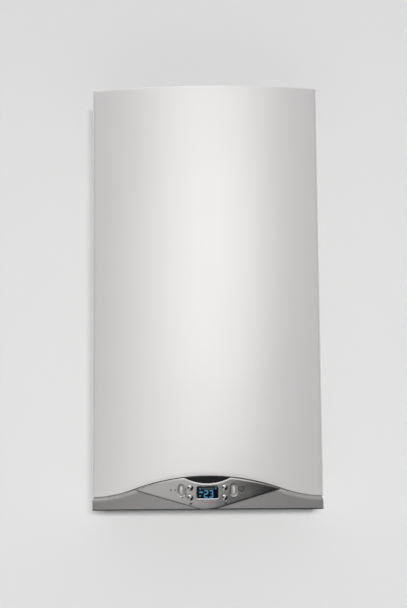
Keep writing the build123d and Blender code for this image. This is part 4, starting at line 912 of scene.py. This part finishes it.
def strokes(name, paths, width, depth, material):
    """Several strokes as one thin raised piece; `depth` gives their place in front."""
    points, faces, start = [], [], 0
    for path in paths:
        flat, quads = ribbon(path, width)
        points.append(flat)
        faces.append(quads + start)
        start += len(flat)
    flat = np.concatenate(points)
    solid = lift(flat, depth(flat[:, 0], flat[:, 1]))
    mark = piece(name, solid, np.concatenate(faces), "control_panel", FINISHES[material])
    solidify(mark, PRINT, 0.0)


PANE_POINTS = 96
DIGIT_WIDTH, BEND = 5.6, 1.7  # mm: a digit's width and the radius of its corners
DIGIT_LINES = (3.0, -2.6, -8.2)  # mm from the middle of the pane: top, middle and bottom


def display_pane():
    """The black pane: rounded rectangles, back to front, that close to a point at each end."""
    back, face = glass_high.y, glass_low.y
    middle = np.array([0, DISPLAY_Z])
    outline = ring(0, DISPLAY_Z, glass_high.x, WINDOW_Z - WINDOW_GAP, WINDOW_CORNER,
                   PANE_POINTS) - middle
    rows = []
    # Each row: its place, and how far a point half-way out moves in; None for all the way.
    for y, inset in ((back, None), (back, 0.0), (face + 0.3 * MM, 0.0),
                     (face + 0.08 * MM, 0.1 * MM), (face, 0.4 * MM), (face, None)):
        size = 0 if inset is None else 1 - inset / (glass_high.x / 2)
        rows.append(lift(outline * size + middle, np.full(PANE_POINTS, y)))
    piece("display_pane", np.concatenate(rows),
          grid_faces(len(rows), PANE_POINTS, close_columns=True), "control_panel",
          FINISHES["display_window"], ["display_glass"], closed=True)


def digit(x, lower):
    """The line of a rounded digit from its left edge: an upper bow, then the `lower` part."""
    right = x + DIGIT_WIDTH
    top, middle, _ = DIGIT_LINES
    return np.concatenate([[(x, top)], arc(right - BEND, top - BEND, BEND, 90, 0),
                           arc(right - BEND, middle + BEND, BEND, 0, -90), *lower(x, right)])


def two(left, right):
    """The lower part of a two: back to the left, down and along the foot."""
    _, middle, bottom = DIGIT_LINES
    return [arc(left + BEND, middle - BEND, BEND, 90, 180),
            arc(left + BEND, bottom + BEND, BEND, 180, 270), [(right, bottom)]]


def three(left, right):
    """The lower part of a three: the middle bar, then a second bow like the upper one."""
    _, middle, bottom = DIGIT_LINES
    return [[(left + 1.2, middle)], [(right - BEND, middle)],
            arc(right - BEND, middle - BEND, BEND, 90, 0),
            arc(right - BEND, bottom + BEND, BEND, 0, -90), [(left, bottom)]]


def display():
    """The window: a black pane, two digits and small marks that shine, and a dull scale."""
    display_pane()

    def ink(x, _):
        """Just ahead of the pane."""
        return np.full_like(x, glass_low.y - 0.03 * MM)

    def place(paths):
        """Paths in mm from the middle of the pane, at their place."""
        return [np.asarray(path) * MM + [0, DISPLAY_Z] for path in paths]

    digits = [digit(-5.6, two), digit(3.0, three)]
    strokes("display_digits", place(digits), 1.7 * MM, ink,
            "digit_glow")
    # a roof, bars at the left and an open ring at the upper right
    roof = [(-14.4, 6.3), (-12.8, 7.4), (-11.2, 6.3)]
    bars = [(-14.0, -11.6, 5.2), (-14.6, -13.2, 1.2), (-12.4, -9.0, 1.6), (-14.6, -8.2, -0.4),
            (-12.4, -7.4, 0.6), (-14.2, -11.0, -5.2), (-14.2, -12.2, -6.6)]
    marks = [roof, *([(start, z), (end, z)] for start, end, z in bars),
             arc(14.2, 6.8, 1.1, 20, 320)]
    strokes("display_marks", place(marks), 0.9 * MM, ink, "digit_glow")
    # ten bars in a row along the top
    scale = [[(-9.6 + n * 2.1, 6.4), (-8.1 + n * 2.1, 6.4)] for n in range(10)]
    strokes("display_scale", place(scale), 2.6 * MM, ink, "scale_grey")


def printed_marks():
    """Small generic symbols printed on the almond beside its controls."""
    marks = [
        # left of the left slot: a dash, and a dot of two short lines; under the slot: a slash
        [(-57.2, 33.4), (-54.0, 33.8)], [(-63.8, 33.0), (-61.8, 33.0)],
        [(-63.8, 33.8), (-61.8, 33.8)], [(-44.2, 19.2), (-41.4, 22.4)],
        # a bracket beside the left buttons, and a half ring over a line under them
        [(-36.6, 37.6), (-37.2, 36.8), (-37.2, 21.4), (-36.6, 20.6)],
        arc(-28.8, 9.6, 1.5, 0, 180), [(-31.0, 9.6), (-26.6, 9.6)],
        # under the right buttons: an open ring with a stroke
        arc(30.7, 9.8, 1.4, -20, 200), [(30.7, 10.2), (30.7, 12.4)],
        # right of the right slot: an open ring with a stroke; under the slot: a dash
        arc(57.2, 35.3, 4.3, 112, 428, 28), [(57.2, 38.2), (57.2, 35.0)],
        [(43.2, 20.6), (46.2, 20.6)]]
    strokes("panel_marks", [np.asarray(path) * MM for path in marks], 1.25 * MM,
            lambda x, z: panel_y(x, z) - 0.02 * MM, "mark_ink")


# A dark bead in the rubber finish: a painted shade line under the almond's lower edge, not a real
# part.
SHADE_BEAD_RADIUS = 0.85 * MM
SHADE_BEAD_DROP, SHADE_BEAD_LEAST = 0.45 * MM, 0.9 * MM  # under the keel, and its least height
SHADE_BEAD_DEPTH = 1.65 * MM  # behind the bow
SHADE_BEAD_STEPS, SHADE_BEAD_SIDES = 160, 10


def keel_shade_bead():
    """A dark bead on the fascia, a painted shade line under the almond's lower edge: a circle carried
    along that edge, a set drop under the keel but never below a least height, and a set depth behind
    the bow.
    """
    half = LENS_TIP - 2 * MM
    x = np.linspace(-half, half, SHADE_BEAD_STEPS)
    angle = np.linspace(0, 2 * math.pi, SHADE_BEAD_SIDES, endpoint=False)
    xx, aa = np.meshgrid(x, angle, indexing="ij")
    z = np.maximum(keel_z(xx) - SHADE_BEAD_DROP, SHADE_BEAD_LEAST) + SHADE_BEAD_RADIUS * np.sin(aa)
    y = bow_y(xx) + SHADE_BEAD_DEPTH + SHADE_BEAD_RADIUS * np.cos(aa)
    points = np.stack([xx, y, z], -1).reshape(-1, 3)
    first_end = np.arange(SHADE_BEAD_SIDES)
    last_end = first_end[::-1] + (SHADE_BEAD_STEPS - 1) * SHADE_BEAD_SIDES
    faces = [*grid_faces(SHADE_BEAD_STEPS, SHADE_BEAD_SIDES, close_columns=True), first_end, last_end]
    piece("keel_shade_bead", points, faces, "control_panel", FINISHES["rubber"], closed=True)


control_lens()
badge()
buttons()
wheels()
display()
printed_marks()
keel_shade_bead()

# --- Studio ---
CAMERA_PLACE = Vector((10.9, -2919, -13.3)) * MM
CAMERA_PITCH = math.radians(8.04)
CAMERA_YAW = math.radians(0.337)
CAMERA_ROLL = math.radians(-0.48)
FOCAL_PIXELS = 1511.5
FRAME_HEIGHT = 608  # pixels
SENSOR = 36.0  # mm, along the frame's height


def make_camera():
    """The camera at the photograph's angle: low, pitched up, very slightly rolled."""
    data = bpy.data.cameras.new("camera")
    data.sensor_width = SENSOR
    data.lens = FOCAL_PIXELS / FRAME_HEIGHT * SENSOR
    data.clip_start, data.clip_end = 0.05, 60
    camera = bpy.data.objects.new("camera", data)
    bpy.context.scene.collection.objects.link(camera)
    yaw = Matrix.Rotation(CAMERA_YAW, 4, "Z")
    pitch = Matrix.Rotation(math.pi / 2 + CAMERA_PITCH, 4, "X")
    roll = Matrix.Rotation(CAMERA_ROLL, 4, "Z")
    camera.matrix_world = Matrix.Translation(CAMERA_PLACE) @ yaw @ pitch @ roll
    bpy.context.scene.camera = camera


def lamp(name, place, aim, size, power, glossy):
    """A soft area light."""
    data = bpy.data.lights.new(name, "AREA")
    data.shape, data.energy = "RECTANGLE", power
    data.size, data.size_y = size
    obj = bpy.data.objects.new(name, data)
    bpy.context.scene.collection.objects.link(obj)
    obj.location = place
    obj.rotation_euler = (Vector(aim) - Vector(place)).to_track_quat("-Z", "Y").to_euler()
    obj.visible_glossy = glossy


def glow(name, build):
    """A material that only shines; `build` gives its strength."""
    material = bpy.data.materials.new(name)
    tree = Tree(material)
    light = tree.node("ShaderNodeEmission", None, Strength=build(tree))
    tree.node("ShaderNodeOutputMaterial", None, Surface=light)
    return material


# Area lights: name, place, aim, size, power in watts, whether gloss sees it.
LAMPS = (("key", (0.13, -4.6, 0.085), (0, -0.2, 0.35), (0.42, 0.13), 111, False),
         ("rear_fill_0", (-3.0, 2.0, 1.0), (0, -0.1, 0.4), (1.6, 1.6), 22, True),
         ("rear_fill_2", (3.0, 2.0, 1.0), (0, -0.1, 0.4), (1.6, 1.6), 22, True))
STAGE_REACH = 6.0
FLOOR_PLACE = -1.1
WALL_PLACE = 2 * MM
WALL_COLOUR = (0.84, 0.84, 0.84, 1)
WORLD_SEEN, WORLD_LIGHT = (0.775, 0.775, 0.775, 1), 0.3

ROOM_RADIUS, ROOM_TURN = 4.0, 100  # it turns so many degrees to either side
ROOM_LOW, ROOM_HIGH = FLOOR_PLACE, 5.0
# Brightness of the room by the angle in degrees from straight in front, - to the left.
ROOM_PANEL = ((-90, 0.08), (-45, 0.03), (-37, 0.03), (-29, 0.26), (-15, 0.74), (-8, 1.07),
              (0, 1.18), (11, 1.08), (17, 0.74), (24, 0.27), (32, 0.1), (50, 0.06), (90, 0.12))
ROOM_DIM = ((-90, 0.1), (-35, 0.2), (-25, 0.7), (-19, 0.7), (-8, 0.5), (0, 0.3), (4, 0.14),
            (9, 0.03), (17, 0.0), (60, 0.0), (90, 0.1))
ROOM_ABOVE = ((-90, 0.6), (-36, 0.42), (-24, 0.28), (-10, 0.24), (20, 0.12), (90, 0.16))
ROOM_BELOW = ((-90, 0.2), (-30, 0.12), (0, 0.04), (20, 0.01), (90, 0.06))
# The panel's strength by the height in metres.
PANEL_RISE = ((0.0, 0.97), (0.48, 1.0), (0.76, 1.1), (1.12, 1.3), (1.5, 1.0), (1.8, 0.75))
RISE_TOP = 2.0
ABOVE_STRENGTH, WINDOW_STRENGTH = 3.7, 2.6


def angle_ramp(tree, angle, stops):
    """Brightness by the angle round the room, in degrees from straight in front."""
    return tree.ramp(angle / 180 + 0.5, *[(0.5 + degrees / 180, level) for degrees, level in stops])


def room_light(tree):
    """What gloss sees in front: a broad soft panel that fades to dark sides.

    It stands between a dim band level with the controls and a light band overhead, and its
    upper left and lower right are duller. Below the dim band the room is dark, and far on the
    left it has a bright window. Each begins by an ease over an angle or a height.
    """
    x, y, z = tree.axes()
    angle = x.math("ARCTAN2", x, y * -1.0) * (180 / math.pi)
    dim, above, below = (angle_ramp(tree, angle, s) for s in (ROOM_DIM, ROOM_ABOVE, ROOM_BELOW))
    tall = tree.ramp(z / RISE_TOP, *[(height / RISE_TOP, level) for height, level in PANEL_RISE])
    left_fade = tree.smooth(angle, -12.0, -26.0) * tree.smooth(z, 1.0, 1.7) * 0.4
    right_fade = tree.smooth(angle, 12.0, 24.0) * tree.smooth(z, 0.95, 0.45) * 0.75
    panel = angle_ramp(tree, angle, ROOM_PANEL) * tall * (1 - left_fade - right_fade)
    step = tree.smooth(angle, 0.0, 14.0) * 0.05  # the panel's foot is higher on the right
    front = dim + (panel - dim) * tree.smooth(z - step, 0.13, 0.27)
    low = tree.smooth(z, -0.08, -0.32)
    overhead = above * ABOVE_STRENGTH * tree.smooth(z, 2.7, 3.1)
    window = tree.smooth(angle, -52.0, -66.0) * tree.smooth(z, 2.4, 3.0) * WINDOW_STRENGTH
    return front * (1 - low) + below * low + overhead + window


def make_room():
    """A part of an upright cylinder in front, seen only by gloss."""
    turn = np.radians(np.linspace(-ROOM_TURN, ROOM_TURN, 61))
    height = np.linspace(ROOM_LOW, ROOM_HIGH, 9)
    tt, hh = np.meshgrid(turn, height, indexing="ij")
    points = np.stack([ROOM_RADIUS * np.sin(tt), -ROOM_RADIUS * np.cos(tt), hh], -1).reshape(-1, 3)
    room = piece("studio_room", points, grid_faces(*tt.shape), None, glow("room_light", room_light))
    only_gloss(room)


# Level cards: name, left, right, front, rear, height, strength.
CARDS = (("studio_ceiling", -3.4, -0.5, -3.2, -0.5, 4.2, 3.0),
         ("studio_bounce", -2.6, -0.35, -3.6, -0.45, -1.0, 0.75),
         ("studio_flag", -0.15, 2.6, -3.6, -0.45, -1.0, 0.03))


def make_cards():
    """Three cards seen only by gloss: one overhead, a bounce below and a dark one beside it."""
    for name, left, right, front, rear, height, strength in CARDS:
        only_gloss(stage_sheet(name, [(left, front, height), (right, front, height),
                                      (right, rear, height), (left, rear, height)],
                               glow(name, lambda tree: strength)))


def only_gloss(obj):
    """Hides a light panel from all but glossy rays."""
    obj.visible_camera = obj.visible_diffuse = obj.visible_shadow = False
    obj.visible_transmission = obj.visible_volume_scatter = False


def stage_sheet(name, corners, material):
    """A flat stage piece from four corners."""
    obj = piece(name, corners, [(0, 1, 2, 3)], None, material)
    return obj


def looked_at(tree):
    """1 for what looks at a surface, 0 for what only lights it."""
    rays = tree.node("ShaderNodeLightPath").socket.node.outputs
    camera, gloss, through = (Wire(tree, rays[f"Is {kind} Ray"])
                              for kind in ("Camera", "Glossy", "Transmission"))
    return camera + gloss + through > 0.5


def wall_finish():
    """Pale wall, solid only to what looks at its front."""
    material = bpy.data.materials.new("wall")
    tree = Tree(material)
    paint = tree.node("ShaderNodeBsdfDiffuse", None, WALL_COLOUR)
    clear = tree.node("ShaderNodeBsdfTransparent")
    behind = tree.node("ShaderNodeNewGeometry", output="Backfacing")
    surface = tree.node("ShaderNodeMixShader", None, looked_at(tree) * (1 - behind), clear, paint)
    tree.node("ShaderNodeOutputMaterial", None, Surface=surface)
    return material


def floor_finish(tree):
    """Pale floor."""
    return {"Base_Color": cloudy(tree, (0.74, 0.74, 0.735), 3, 0.01)}


def make_studio():
    """Wall, floor, lamps and world."""
    reach, low = STAGE_REACH, FLOOR_PLACE
    stage_sheet("wall", [(-reach, WALL_PLACE, low), (reach, WALL_PLACE, low),
                         (reach, WALL_PLACE, reach), (-reach, WALL_PLACE, reach)], wall_finish())
    stage_sheet("floor", [(-reach, -reach, low), (reach, -reach, low), (reach, reach, low),
                          (-reach, reach, low)], finish("floor", floor_finish, Roughness=0.8))
    for values in LAMPS:
        lamp(*values)
    world = bpy.data.worlds.new("studio")
    bpy.context.scene.world = world
    tree = Tree(world)
    shown = tree.node("ShaderNodeBackground", None, WORLD_SEEN, 1.0)
    soft = tree.node("ShaderNodeBackground", None, (1, 1, 1, 1), WORLD_LIGHT)
    tree.node("ShaderNodeOutputWorld", None,
              Surface=tree.node("ShaderNodeMixShader", None, looked_at(tree), soft, shown))


make_camera()
make_room()
make_cards()
make_studio()
bpy.context.scene.view_settings.view_transform = "Standard"
